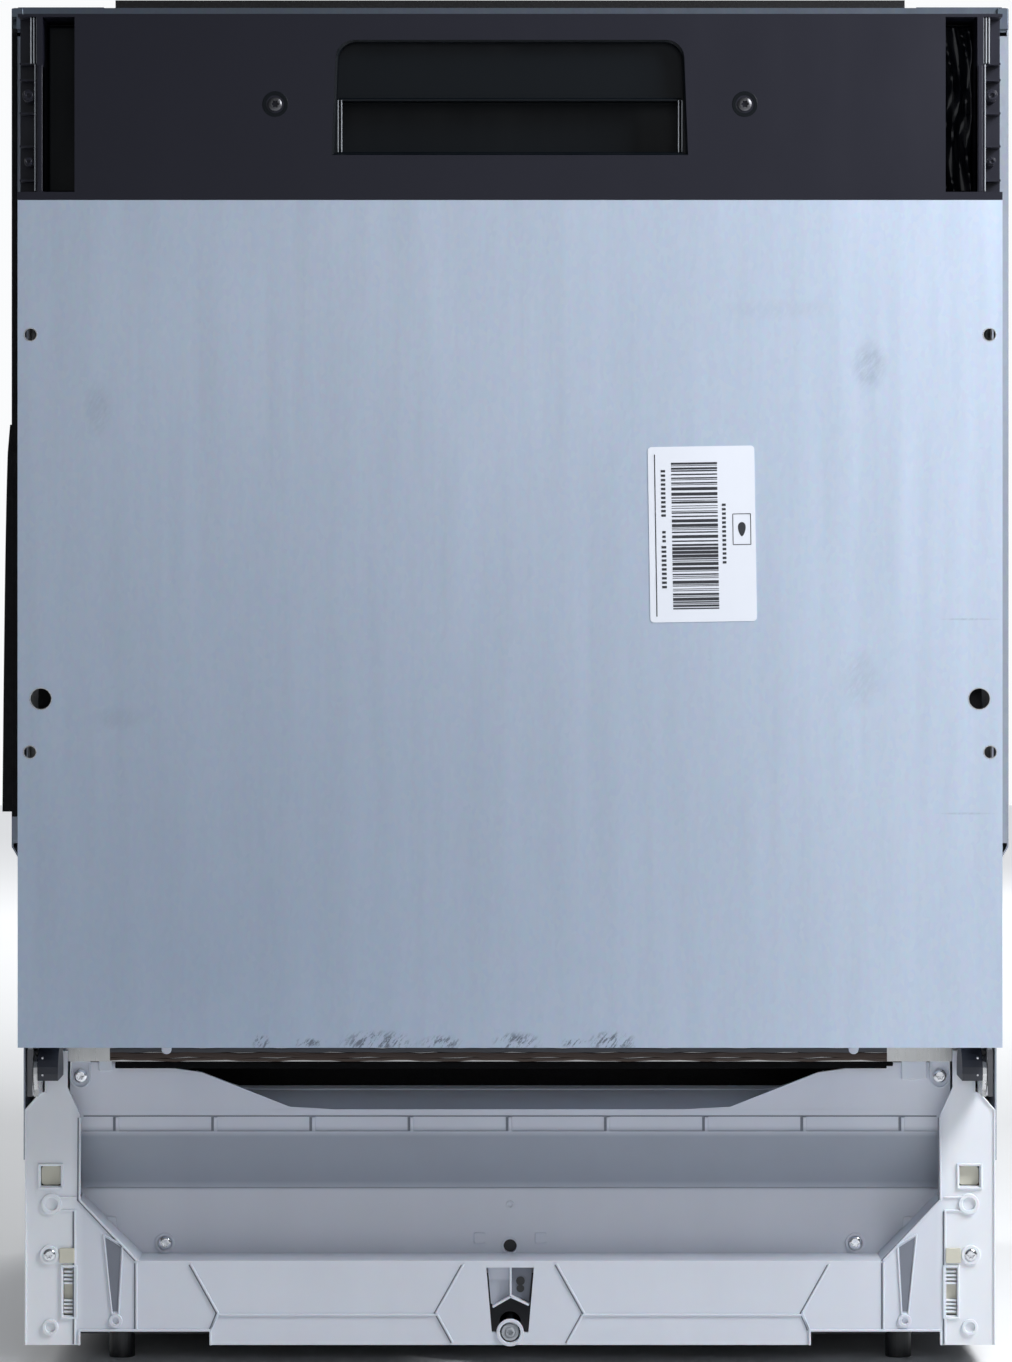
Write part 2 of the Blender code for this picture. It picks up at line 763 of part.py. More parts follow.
def circulation_pump():
    x = FILTER_X
    y = PUMP_JOINT_Y + FIT
    z = PUMP_Z
    head = rod((x, y, z), (x, y + 0.045, z), 0.040, 28)
    motor = rod((x, y + 0.040, z), (x, y + 0.130, z), 0.032, 28)
    collar = rod((x, y + 0.055, z), (x, y + 0.075, z), 0.036, 28)
    return smooth(solid("circulation_pump", dark_plastic(), head, [motor, collar]))


def drain_pump():
    x = FILTER_X + SUMP_RADIUS + FIT
    y = FILTER_Y
    z = PUMP_Z
    head = rod((x, y, z), (x + 0.028, y, z), 0.026)
    motor = rod((x + 0.020, y, z), (x + 0.080, y, z), 0.020)
    return smooth(solid("drain_pump", grey_plastic(), head, [motor]))


def water_softener():
    low = (SALT_X - 0.085, SALT_Y - 0.060, BASE_BOTTOM + 0.010)
    high = (SALT_X + 0.075, SALT_Y + 0.110, TUB_BOTTOM - 0.030)
    tank = box(low, high)
    neck = rod((SALT_X, SALT_Y, 0.140), (SALT_X, SALT_Y, TUB_BOTTOM - FIT), SALT_RADIUS + 0.004)
    throat = rod((SALT_X, SALT_Y, 0.120), (SALT_X, SALT_Y, TUB_BOTTOM + 0.01), SALT_RADIUS - 0.004)
    return solid("water_softener", white_plastic(), tank, [neck], [throat])


def water_inlet():
    """The inlet valve, with its hose thread through the back of the base."""
    end = TRAY_BACK - PLASTIC - FIT
    low = (INLET_X - 0.022, end - 0.060, HOSE_Z - 0.022)
    body = box(low, (INLET_X + 0.022, end, HOSE_Z + 0.022))
    thread = rod((INLET_X, end - 0.005, HOSE_Z), (INLET_X, BACK - 0.002, HOSE_Z), HOSE_RADIUS)
    return solid("water_inlet", white_plastic(), body, [thread])


def drain_outlet():
    x = -INLET_X
    end = TRAY_BACK - 0.060
    elbow = [(x, BACK - 0.002, HOSE_Z), (x, end, HOSE_Z), (x, end - 0.010, HOSE_Z + 0.008)]
    elbow.append((x, end - 0.012, HOSE_Z + 0.045))
    return smooth(solid("drain_outlet", dark_plastic(), tube(elbow, HOSE_RADIUS)))


def balance_spring(name, side):
    x = side * (BASE_HALF - 0.016)
    y = TRAY_FRONT + 0.040
    coil = rod((x, y, 0.120), (x, y + 0.150, 0.120), 0.009, 16)
    hook = rod((x, y + 0.140, 0.120), (x, BACK - 0.016, 0.120), 0.0022, 10)
    tail = rod((x, y - 0.030, 0.120), (x, y + 0.010, 0.120), 0.0022, 10)
    return solid(name, bare_steel(), coil, [hook, tail])


# Inside the tub


def filter_plate():
    centre = (FILTER_X, FILTER_Y)
    plate = rod((*centre, TUB_FLOOR + FIT), (*centre, TUB_FLOOR + 0.003), SUMP_RADIUS + 0.025, 40)
    hole = rod((*centre, TUB_FLOOR - 0.01), (*centre, TUB_FLOOR + 0.01), FILTER_RADIUS + RUN, 40)
    return smooth(solid("filter_plate", stainless_steel(), plate, [], [hole]))


def micro_filter():
    """The cup filter, with a rim that rests on the filter plate and a grip on top."""
    centre = (FILTER_X, FILTER_Y)
    top = TUB_FLOOR + 0.006
    rim = rod((*centre, TUB_FLOOR + 0.003 + FIT), (*centre, top), FILTER_RADIUS + 0.005, 32)
    cup = rod((*centre, 0.110), (*centre, TUB_FLOOR + 0.005), FILTER_RADIUS, 32)
    grip_low = (FILTER_X - 0.022, FILTER_Y - 0.003, top - 0.004)
    grip = box(grip_low, (FILTER_X + 0.022, FILTER_Y + 0.003, top + 0.008))
    hollow = rod((*centre, 0.113), (*centre, top + 0.01), FILTER_RADIUS - 0.0025, 32)
    filt = solid("micro_filter", grey_plastic(), rim, [cup], [hollow], (*centre, top))
    bar = box(
        (FILTER_X - FILTER_RADIUS + 0.001, FILTER_Y - 0.003, top - 0.004),
        (FILTER_X + FILTER_RADIUS - 0.001, FILTER_Y + 0.003, top - 0.001),
    )
    boolean(filt, bar, "UNION")
    boolean(filt, grip, "UNION")
    return smooth(filt)


def salt_cap():
    centre = (SALT_X, SALT_Y)
    low = TUB_FLOOR + FIT
    disc = rod((*centre, low), (*centre, low + 0.005), SALT_RADIUS, 28)
    plug = rod((*centre, TUB_BOTTOM - 0.012), (*centre, low + 0.002), SALT_RADIUS - 0.004 - RUN, 28)
    grip_low = (SALT_X - 0.018, SALT_Y - 0.004, low + 0.003)
    grip = box(grip_low, (SALT_X + 0.018, SALT_Y + 0.004, low + 0.012))
    return smooth(solid("salt_cap", dark_plastic(), disc, [plug, grip], [], (*centre, low)))


def feed_pipe():
    """Riser at the back of the tub, on to a nozzle in its ceiling, with a dock for the upper rack."""
    back = TUB_BACK - TUB_SHEET - 0.012
    top = TUB_TOP - 0.014
    low = TUB_FLOOR + 0.0095
    route = [
        (0, SPRAY_Y + 0.010, low),
        (0, back - 0.02, low),
        (0, back, low + 0.0205),
        (0, back, top - 0.02),
        (0, back - 0.02, top),
        (0, SPRAY_Y, top),
    ]
    riser = tube(route, 0.009)
    post = rod((0, SPRAY_Y, TUB_FLOOR + FIT), (0, SPRAY_Y, LOWER_ARM_Z - 0.001), 0.022)
    pin_top = LOWER_ARM_Z + ARM_HEIGHT - 0.002
    pin = rod((0, SPRAY_Y, LOWER_ARM_Z - 0.005), (0, SPRAY_Y, pin_top), PIVOT_RADIUS)
    dock = rod((0, RACK_BACK + 2 * RUN, MANIFOLD_Z), (0, back, MANIFOLD_Z), 0.008)
    nozzle = rod((0, SPRAY_Y, top - 0.016), (0, SPRAY_Y, top), 0.030)
    return smooth(solid("feed_pipe", grey_plastic(), riser, [post, pin, dock, nozzle]))


def spray_arm(name, z, radius, bore_low, bore_high):
    """A long blade with round ends and a bored hub, turning about Z."""
    half = ARM_WIDTH / 2
    points = []
    for centre, start in ((radius - half, -90), (-radius + half, 90)):
        for step in range(9):
            angle = math.radians(start + 180 * step / 8)
            points.append((centre + math.cos(angle) * half, SPRAY_Y + math.sin(angle) * half))
    blade = prism([points], z + 0.001, z + ARM_HEIGHT - 0.002, "Z")
    hub = rod((0, SPRAY_Y, z), (0, SPRAY_Y, z + ARM_HEIGHT), 0.028)
    hole = rod((0, SPRAY_Y, bore_low), (0, SPRAY_Y, bore_high), PIVOT_RADIUS + RUN)
    return smooth(solid(name, grey_plastic(), blade, [hub], [hole], (0, SPRAY_Y, z)))


# Racks


def cage(name, low, high):
    """An open-topped rack of square wires, made by cutting windows in a box.

    The windows stop a step short of the inside's own faces, so that no two cuts share a face.
    """
    wire = RACK_WIRE
    step = 0.0005
    pitch_x = (high[0] - low[0] - wire) / RACK_COLUMNS
    pitch_y = (high[1] - low[1] - wire) / RACK_ROWS
    columns = []
    for index in range(RACK_COLUMNS):
        start = low[0] + wire + index * pitch_x
        columns.append((start + step, start + pitch_x - wire - step))
    rows = []
    for index in range(RACK_ROWS):
        start = low[1] + wire + index * pitch_y
        rows.append((start + step, start + pitch_y - wire - step))
    inside = box(
        (low[0] + wire, low[1] + wire, low[2] + wire),
        (high[0] - wire, high[1] - wire, high[2] + 0.01),
    )
    floor = []
    for x in columns:
        for y in rows:
            floor.append(((x[0], y[0], low[2] - 0.01), (x[1], y[1], low[2] + 0.01)))
    window = (low[2] + wire + step, high[2] - wire)
    ends = []
    for x in columns:
        ends.append(((x[0], low[1] - 0.01, window[0]), (x[1], high[1] + 0.01, window[1])))
    flanks = []
    for y in rows:
        flanks.append(((low[0] - 0.01, y[0], window[0]), (high[0] + 0.01, y[1], window[1])))
    cuts = [inside, boxes(floor), boxes(ends), boxes(flanks)]
    return solid(name, rack_coating(), box(low, high), [], cuts)


def upper_rack():
    """The cup rack with its side runners and the manifold that carries the upper spray arm."""
    half = RAIL_FAR - 0.0127
    low = (-half, RACK_FRONT, UPPER_RACK_BOTTOM)
    high = (half, RACK_BACK, UPPER_RACK_BOTTOM + UPPER_RACK_HEIGHT)
    rack = cage("upper_rack", low, high)
    for _, side in sides():
        near = half - RACK_WIRE / 2
        far = RAIL_FAR - 0.0015 - RUN
        low_edge = (RACK_FRONT + 0.006, RAIL_Z - 0.0065 + RUN)
        high_edge = (RACK_BACK - 0.006, RAIL_Z + 0.0065 - RUN)
        boolean(rack, side_box(side, near, far, low_edge, high_edge), "UNION")
    z = MANIFOLD_Z
    manifold = box((-0.011, SPRAY_Y - 0.020, z - 0.006), (0.011, RACK_BACK - 0.0005, z + 0.0135))
    boolean(rack, manifold, "UNION")
    spindle = rod((0, SPRAY_Y, UPPER_ARM_Z + 0.002), (0, SPRAY_Y, z - 0.002), PIVOT_RADIUS)
    boolean(rack, spindle, "UNION")
    collar_low = UPPER_ARM_Z + ARM_HEIGHT + 0.0015
    collar = rod((0, SPRAY_Y, collar_low), (0, SPRAY_Y, z + 0.001), 0.016)
    boolean(rack, collar, "UNION")
    return rack


def lower_rack():
    """The plate rack, with a bracket and a stub axle for each wheel."""
    low = (-RACK_HALF, RACK_FRONT, LOWER_RACK_BOTTOM)
    high = (RACK_HALF, RACK_BACK, LOWER_RACK_BOTTOM + LOWER_RACK_HEIGHT)
    rack = cage("lower_rack", low, high)
    for side, y in wheel_spots():
        inner = RACK_HALF - 0.0075
        low_edge = (y - 0.012, WHEEL_Z - 0.006)
        high_edge = (y + 0.012, LOWER_RACK_BOTTOM + RACK_WIRE / 2)
        boolean(rack, side_box(side, inner - 0.004, inner, low_edge, high_edge), "UNION")
        axle_start = (side * (inner - 0.002), y, WHEEL_Z)
        axle = rod(axle_start, (side * (inner + 0.0115), y, WHEEL_Z), 0.003, 16)
        boolean(rack, axle, "UNION")
    return rack


def wheel_spots():
    spots = []
    pitch = (RACK_BACK - RACK_FRONT - RACK_WIRE) / RACK_ROWS
    for y in (RACK_FRONT + pitch + RACK_WIRE / 2, RACK_BACK - pitch - RACK_WIRE / 2):
        for _, side in sides():
            spots.append((side, y))
    return spots


def wheel(name, side, y):
    near = RACK_HALF - 0.0075 + RUN
    start = (side * near, y, WHEEL_Z)
    end = (side * (near + WHEEL_WIDTH), y, WHEEL_Z)
    tyre = rod(start, end, WHEEL_RADIUS, 20)
    bore_start = (side * (near - 0.005), y, WHEEL_Z)
    bore = rod(bore_start, (side * (near + 0.02), y, WHEEL_Z), 0.0033, 16)
    return smooth(solid(name, grey_plastic(), tyre, [], [bore], start))


def cutlery_basket():
    """A basket with four compartments that stands in the front right of the lower rack."""
    top = LOWER_RACK_BOTTOM + LOWER_RACK_HEIGHT - 0.004
    low = Vector((RACK_HALF - 0.100, RACK_FRONT + 0.008, LOWER_RACK_BOTTOM + RACK_WIRE + FIT))
    high = Vector((RACK_HALF - 0.010, RACK_FRONT + 0.215, top))
    wall = 0.002
    cuts = []
    pitch = (high.y - low.y - wall) / BASKET_CELLS
    for index in range(BASKET_CELLS):
        start = low.y + wall + index * pitch
        cell_low = (low.x + wall, start, low.z + wall)
        cuts.append(box(cell_low, (high.x - wall, start + pitch - wall, high.z + 0.01)))
    return solid("cutlery_basket", grey_plastic(), box(low, high), [], cuts)


def rail_guide(name, side):
    """The fixed channel on the tub's wall."""
    far = GUIDE_FAR
    low = (CABINET_FRONT + 0.030, RAIL_Z - 0.012)
    high = (RACK_BACK, RAIL_Z + 0.012)
    bar = side_box(side, far - 0.011, far, low, high)
    slot_low = (low[0] - 0.01, RAIL_Z - 0.009)
    slot_high = (high[0] + 0.01, RAIL_Z + 0.009)
    slot = side_box(side, far - 0.0125, far - 0.0020, slot_low, slot_high)
    return solid(name, bare_steel(), bar, [], [slot])


def rail(name, side):
    """The middle member, which runs in the guide and carries the rack's runner."""
    far = RAIL_FAR
    low = (CABINET_FRONT + 0.031, RAIL_Z - 0.009 + RUN)
    high = (RACK_BACK - 0.001, RAIL_Z + 0.009 - RUN)
    bar = side_box(side, far - 0.0085, far, low, high)
    slot_low = (low[0] - 0.01, RAIL_Z - 0.0065)
    slot_high = (high[0] + 0.01, RAIL_Z + 0.0065)
    slot = side_box(side, far - 0.0095, far - 0.0015, slot_low, slot_high)
    return solid(name, bare_steel(), bar, [], [slot])


# Door


def door_outer_panel():
    """The front sheet with folded edges, bored for the furniture front's fixings."""
    face = box((-DOOR_HALF, FRONT, DOOR_BOTTOM), (DOOR_HALF, FRONT + SHEET, SPLIT - FIT))
    adds = []
    for _, side in sides():
        low = (FRONT + 0.0005, DOOR_BOTTOM)
        high = (FRONT + 0.038, SPLIT - FIT)
        adds.append(side_box(side, DOOR_HALF - SHEET, DOOR_HALF, low, high))
    sill = box(
        (-DOOR_HALF + 0.018, FRONT + 0.0005, DOOR_BOTTOM),
        (DOOR_HALF - 0.018, DOOR_BACK - SHEET - FIT, DOOR_BOTTOM + SHEET),
    )
    adds.append(sill)
    cuts = []
    for inset, height, radius in panel_holes():
        for _, side in sides():
            x = side * (DOOR_HALF - inset)
            cuts.append(rod((x, FRONT - 0.005, height), (x, FRONT + 0.005, height), radius))
    return solid("door_outer_panel", galvanised_steel(), face, adds, cuts)


def panel_holes():
    """Inset from the door's edge, height and radius of each pair of holes."""
    return (
        (0.0076, SPLIT - 0.0793, PANEL_HOLE_RADIUS),
        (0.0136, SPLIT - 0.2930, FIXING_HOLE_RADIUS),
        (0.0072, SPLIT - 0.3243, PANEL_HOLE_RADIUS),
    )


def door_inner_liner():
    """The stainless inner sheet, with folded sides and windows for the dispenser and the lock."""
    half = DOOR_HALF - 0.0015
    low = (-half, DOOR_BACK - SHEET, DOOR_BOTTOM)
    face = box(low, (half, DOOR_BACK, DOOR_TOP - 0.003))
    adds = []
    for _, side in sides():
        edge_low = (FRONT + 0.0405, DOOR_BOTTOM)
        edge_high = (DOOR_BACK - 0.0005, DOOR_TOP - 0.003)
        adds.append(side_box(side, half - SHEET, half, edge_low, edge_high))
    window_low = (-DISPENSER_HALF - FIT, DOOR_BACK - 0.01, DISPENSER_LOW - FIT)
    window = box(window_low, (DISPENSER_HALF + FIT, DOOR_BACK + 0.01, DISPENSER_HIGH + FIT))
    slot_low = (-0.0125, DOOR_BACK - 0.01, STRIKE_Z - 0.004)
    slot = box(slot_low, (0.0125, DOOR_BACK + 0.01, STRIKE_Z + 0.004))
    return solid("door_inner_liner", stainless_steel(), face, adds, [window, slot])


def fascia():
    """The plastic head of the door: grip window in the middle, bracket pockets at the ends."""
    back = FRONT + 0.040
    body = box((-DOOR_HALF, FRONT, SPLIT), (DOOR_HALF, back, DOOR_TOP))
    lid_low = (-DOOR_HALF + 0.0005, back - 0.002, DOOR_TOP - PLASTIC)
    lid = box(lid_low, (DOOR_HALF - 0.0005, DOOR_BACK, DOOR_TOP))
    cuts = []
    hollow_half = DOOR_HALF - POCKET_INSET - POCKET_WIDTH - PLASTIC
    cuts.append(
        box(
            (-hollow_half, FRONT + PLASTIC, SPLIT + PLASTIC),
            (hollow_half, DOOR_BACK + 0.01, DOOR_TOP - PLASTIC),
        )
    )
    cuts.append(prism([grip_window()], FRONT - 0.01, FRONT + 0.01, "Y"))
    for _, side in sides():
        near = DOOR_HALF - POCKET_INSET - POCKET_WIDTH
        low = (FRONT - 0.01, SPLIT + 0.0045)
        high = (back - PLASTIC, DOOR_TOP - 0.0018)
        cuts.append(side_box(side, near, near + POCKET_WIDTH, low, high))
        high = (FRONT + 0.014, DOOR_TOP - 0.0018)
        cuts.append(side_box(side, DOOR_HALF - CHANNEL_WIDTH, DOOR_HALF + 0.01, low, high))
    obj = solid("fascia", fascia_plastic(), body, [lid], cuts)
    for drop in RIB_DROPS:
        for _, side in sides():
            low = (FRONT + 0.003, DOOR_TOP - drop - 0.0006)
            high = (FRONT + 0.016, DOOR_TOP - drop + 0.0006)
            rib = side_box(side, DOOR_HALF - CHANNEL_WIDTH - 0.001, DOOR_HALF - 0.0008, low, high)
            boolean(obj, rib, "UNION")
    half = (BUTTON_LENGTH / 2 + RUN, BUTTON_WIDTH / 2 + RUN)
    for x in BUTTON_PLACES:
        low = (x - half[0], BUTTON_Y - half[1], DOOR_TOP - 0.01)
        hole = box(low, (x + half[0], BUTTON_Y + half[1], DOOR_TOP + 0.01))
        boolean(obj, hole, "DIFFERENCE")
    return obj


def grip_window():
    """Round corners at the top, and sides that spread a little to sharp corners at the bottom."""
    half = GRIP_WIDTH / 2
    inner = half - 0.0022
    top = rectangle((-inner, GRIP_BOTTOM), (inner, GRIP_TOP))
    arcs = rounded(top, 0.0105)
    upper = [point for point in arcs if point[1] > GRIP_TOP - 0.0110]
    return [(-half, GRIP_BOTTOM), (half, GRIP_BOTTOM)] + upper


def grip_pocket():
    """The finger recess behind the window: a shallow upper plate over a deep slot."""
    half = GRIP_WIDTH / 2 + 0.004
    front = FRONT + PLASTIC + FIT
    low_z = GRIP_BOTTOM - 0.004
    high_z = GRIP_TOP + 0.004
    back = FRONT + GRIP_DEPTH
    body = box((-half, front, low_z), (half, back, high_z))
    shelf = GRIP_BOTTOM + 0.0335
    upper_low = (-half + 0.004, front - 0.01, shelf - 0.001)
    upper = box(upper_low, (half - 0.004, front + 0.006, GRIP_TOP))
    slot_low = (-half + 0.007, front - 0.01, GRIP_BOTTOM + 0.001)
    slot = box(slot_low, (half - 0.007, back - PLASTIC, shelf - 0.0005))
    return solid("grip_pocket", black_plastic(), body, [], [upper, slot])


def control_board():
    low = (0.125, FRONT + 0.006, SPLIT + 0.010)
    case = box(low, (0.235, FRONT + 0.030, DOOR_TOP - 0.012))
    return solid("control_board", circuit_board(), case)


def door_lock():
    z = STRIKE_Z
    back = DOOR_BACK - SHEET - FIT
    low = (-0.030, FRONT + GRIP_DEPTH + 0.001, z - 0.020)
    body = box(low, (0.030, back, DOOR_TOP - PLASTIC - FIT))
    slot = box((-0.0125, DOOR_BACK - 0.0195, z - 0.004), (0.0125, DOOR_BACK + 0.01, z + 0.004))
    return solid("door_lock", dark_plastic(), body, [], [slot])


def hinge_arm(name, side):
    near = HINGE_FAR
    far = near + ARM_THICKNESS
    eye = rod((side * near, PIVOT_Y, PIVOT_Z), (side * far, PIVOT_Y, PIVOT_Z), ARM_RADIUS)
    low = (PIVOT_Y - 0.011, PIVOT_Z)
    plate = side_box(side, near + 0.0001, far - 0.0001, low, (PIVOT_Y + 0.011, PIVOT_Z + 0.085))
    hole_start = (side * (near - 0.005), PIVOT_Y, PIVOT_Z)
    hole = rod(hole_start, (side * (far + 0.005), PIVOT_Y, PIVOT_Z), PIN_RADIUS + RUN)
    return solid(name, bare_steel(), eye, [plate], [hole], (side * near, PIVOT_Y, PIVOT_Z))


def hinge_bracket(name, side):
    """The fixed plate beside the arm, with the pivot pin standing out of it."""
    far = HINGE_FAR - FIT
    near = far - PLASTIC
    low = (PIVOT_Y - 0.010, PIVOT_Z - 0.014)
    plate = side_box(side, near, far, low, (TRAY_FRONT - 0.002, PIVOT_Z + 0.003))
    nose_start = (side * (near + 0.0001), PIVOT_Y, PIVOT_Z)
    nose = rod(nose_start, (side * (far - 0.0001), PIVOT_Y, PIVOT_Z), 0.0140)
    tail_low = (TRAY_FRONT - 0.006, PIVOT_Z - 0.014)
    tail = side_box(side, near, far, tail_low, (TRAY_FRONT + 0.080, PIVOT_Z - 0.002))
    pin_end = far + FIT + ARM_THICKNESS + 0.0008
    pin = rod((side * (near + 0.001), PIVOT_Y, PIVOT_Z), (side * pin_end, PIVOT_Y, PIVOT_Z), PIN_RADIUS)
    foot_far = BASE_HALF - PLASTIC - 0.0001 - FIT
    foot_low = (TRAY_FRONT + 0.010, PIVOT_Z - 0.0135)
    foot = side_box(side, far - 0.0005, foot_far, foot_low, (TRAY_FRONT + 0.070, PIVOT_Z - 0.011))
    return solid(name, bare_steel(), plate, [nose, tail, pin, foot])


def hinge_cover(name, side):
    far = HINGE_FAR - FIT - PLASTIC - FIT
    near = far - COVER_WIDTH
    drum = rod((side * near, PIVOT_Y, PIVOT_Z), (side * far, PIVOT_Y, PIVOT_Z), COVER_RADIUS)
    low = (PIVOT_Y - 0.05, PIVOT_Z - 0.05)
    below = side_box(side, near - 0.01, far + 0.01, low, (PIVOT_Y + 0.05, PIVOT_Z - 0.004))
    return smooth(solid(name, dark_plastic(), drum, [], [below]))


# Buttons on the door's top edge


def button(name, x):
    top = DOOR_TOP + BUTTON_PROUD
    half = (BUTTON_LENGTH / 2, BUTTON_WIDTH / 2)
    low = (x - half[0], BUTTON_Y - half[1], DOOR_TOP - PLASTIC - 0.002)
    cap = box(low, (x + half[0], BUTTON_Y + half[1], top))
    return solid(name, grey_plastic(), cap, [], [], (x, BUTTON_Y, top))


# Detergent dispenser


def dispenser_body():
    face = DISPENSER_FACE
    middle = DISPENSER_MIDDLE
    back = face - DISPENSER_DEPTH
    body = box((-DISPENSER_HALF, back, DISPENSER_LOW), (DISPENSER_HALF, face, DISPENSER_HIGH))
    cup_low = (CUP_LOW_X, face - 0.030, middle - CUP_HEIGHT / 2)
    cup = box(cup_low, (CUP_HIGH_X, face + 0.01, middle + CUP_HEIGHT / 2))
    out = (RINSE_X, face + 0.01, middle)
    seat = rod((RINSE_X, face - 0.0045, middle), out, RINSE_RADIUS + RUN)
    hollow = rod((RINSE_X, face - 0.030, middle), out, RINSE_RADIUS - 0.005)
    return solid("dispenser_body", grey_plastic(), body, [], [cup, seat, hollow])


def dispenser_lid():
    face = DISPENSER_FACE
    middle = DISPENSER_MIDDLE
    reach = CUP_HEIGHT / 2 + 0.005
    low = (CUP_LOW_X - 0.005, face + FIT, middle - reach)
    plate = box(low, (CUP_HIGH_X + 0.005, face + 0.0028, middle + reach))
    ridge_low = (CUP_HIGH_X - 0.006, face + 0.002, middle - 0.030)
    ridge = box(ridge_low, (CUP_HIGH_X - 0.002, face + 0.0048, middle + 0.030))
    return solid("dispenser_lid", grey_plastic(), plate, [ridge])


def rinse_cap():
    face = DISPENSER_FACE
    middle = DISPENSER_MIDDLE
    disc = rod((RINSE_X, face - 0.0042, middle), (RINSE_X, face, middle), RINSE_RADIUS)
    plug_start = (RINSE_X, face - 0.012, middle)
    plug = rod(plug_start, (RINSE_X, face - 0.002, middle), RINSE_RADIUS - 0.005 - RUN)
    grip_low = (RINSE_X - 0.013, face - 0.002, middle - 0.002)
    grip = box(grip_low, (RINSE_X + 0.013, face + 0.0045, middle + 0.002))
    return smooth(solid("rinse_cap", dark_plastic(), disc, [plug, grip], [], (RINSE_X, face, middle)))


def build():
    base_front()
    service_panel()
    base_tray()
    wash_tub()
    tub_seal()
    top_crossbar()
    top_cover()
    top_felt_mat()
    rear_panel()
    door_strike()
    sump()
    circulation_pump()
    drain_pump()
    water_softener()
    water_inlet()
    drain_outlet()
    filter_plate()
    micro_filter()
    salt_cap()
    feed_pipe()
    low = LOWER_ARM_Z
    spray_arm("lower_spray_arm", low, LOWER_ARM_RADIUS, low - 0.01, low + ARM_HEIGHT - 0.0015)
    high = UPPER_ARM_Z
    spray_arm("upper_spray_arm", high, UPPER_ARM_RADIUS, high + 0.0015, high + ARM_HEIGHT + 0.01)
    upper_rack()
    lower_rack()
    cutlery_basket()
    rear_foot()
    rear_foot_shaft()
    door_outer_panel()
    door_inner_liner()
    fascia()
    grip_pocket()
    control_board()
    door_lock()
    dispenser_body()
    dispenser_lid()
    rinse_cap()
    for label, side in sides():
        side_panel(f"{label}_side_panel", side)
        balance_spring(f"{label}_balance_spring", side)
        rail_guide(f"{label}_rail_guide", side)
        rail(f"{label}_rail", side)
        hinge_arm(f"{label}_hinge_arm", side)
        hinge_bracket(f"{label}_hinge_bracket", side)
        hinge_cover(f"{label}_hinge_cover", side)
        front_foot(f"front_{label}_foot", side)
    for index, (side, y) in enumerate(wheel_spots(), start=1):
        wheel(f"rack_wheel_{index}", side, y)
    names = ["power_button", "programme_button_1", "programme_button_2", "programme_button_3"]
    for name, x in zip(names, BUTTON_PLACES):
        button(name, x)


build()
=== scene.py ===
import math
import random

import bmesh
import bpy
from mathutils import Matrix, Vector


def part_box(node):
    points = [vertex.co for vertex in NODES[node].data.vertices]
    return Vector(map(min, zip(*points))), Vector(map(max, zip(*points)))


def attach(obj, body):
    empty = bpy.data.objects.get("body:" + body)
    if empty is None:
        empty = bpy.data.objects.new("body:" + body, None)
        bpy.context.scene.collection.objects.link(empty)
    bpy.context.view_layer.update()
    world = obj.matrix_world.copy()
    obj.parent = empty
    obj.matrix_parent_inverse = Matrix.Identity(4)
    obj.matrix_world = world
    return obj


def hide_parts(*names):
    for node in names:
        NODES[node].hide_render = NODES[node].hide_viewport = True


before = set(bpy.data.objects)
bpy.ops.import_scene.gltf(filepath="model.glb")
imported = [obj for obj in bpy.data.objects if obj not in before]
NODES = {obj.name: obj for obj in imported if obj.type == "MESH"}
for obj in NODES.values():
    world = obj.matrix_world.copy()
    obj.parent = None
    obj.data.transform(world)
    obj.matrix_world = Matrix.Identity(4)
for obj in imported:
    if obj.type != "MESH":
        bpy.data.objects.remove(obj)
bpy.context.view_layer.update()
RNG = random.Random(7)
CAMERA_DISTANCE, CAMERA_HEIGHT = 2.5, 0.475  # from the fascia, and above the floor
SIDES = (-1, 1)  # left and right, as signs along X
CORNERS = ((-1, -1), (1, -1), (1, 1), (-1, 1))
PANEL_STEP = 0.02  # the service panel's flat lower part lies this far behind its front
LINE_WIDTH = 0.0012  # of the lines pressed into the base

# Boxes of the CAD nodes that the pieces are placed from: the low corner, and the high one where it is needed
DOOR_LOW, DOOR_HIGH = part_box("door_outer_panel")
FASCIA_LOW, FASCIA_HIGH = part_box("fascia")
GRIP_LOW, GRIP_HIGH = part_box("grip_pocket")
BASE_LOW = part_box("base_front")[0]
PANEL_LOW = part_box("service_panel")[0]
TUB_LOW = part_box("wash_tub")[0]
BAR_LOW, BAR_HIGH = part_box("top_crossbar")
TRAY_LOW, TRAY_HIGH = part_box("base_tray")
SPINDLE_LOW, SPINDLE_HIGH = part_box("rear_foot_shaft")
SIDE_LOW, SIDE_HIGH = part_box("right_side_panel")
BACK_LOW, BACK_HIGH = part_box("rear_panel")

# ---------------------------------------------------------------- materials


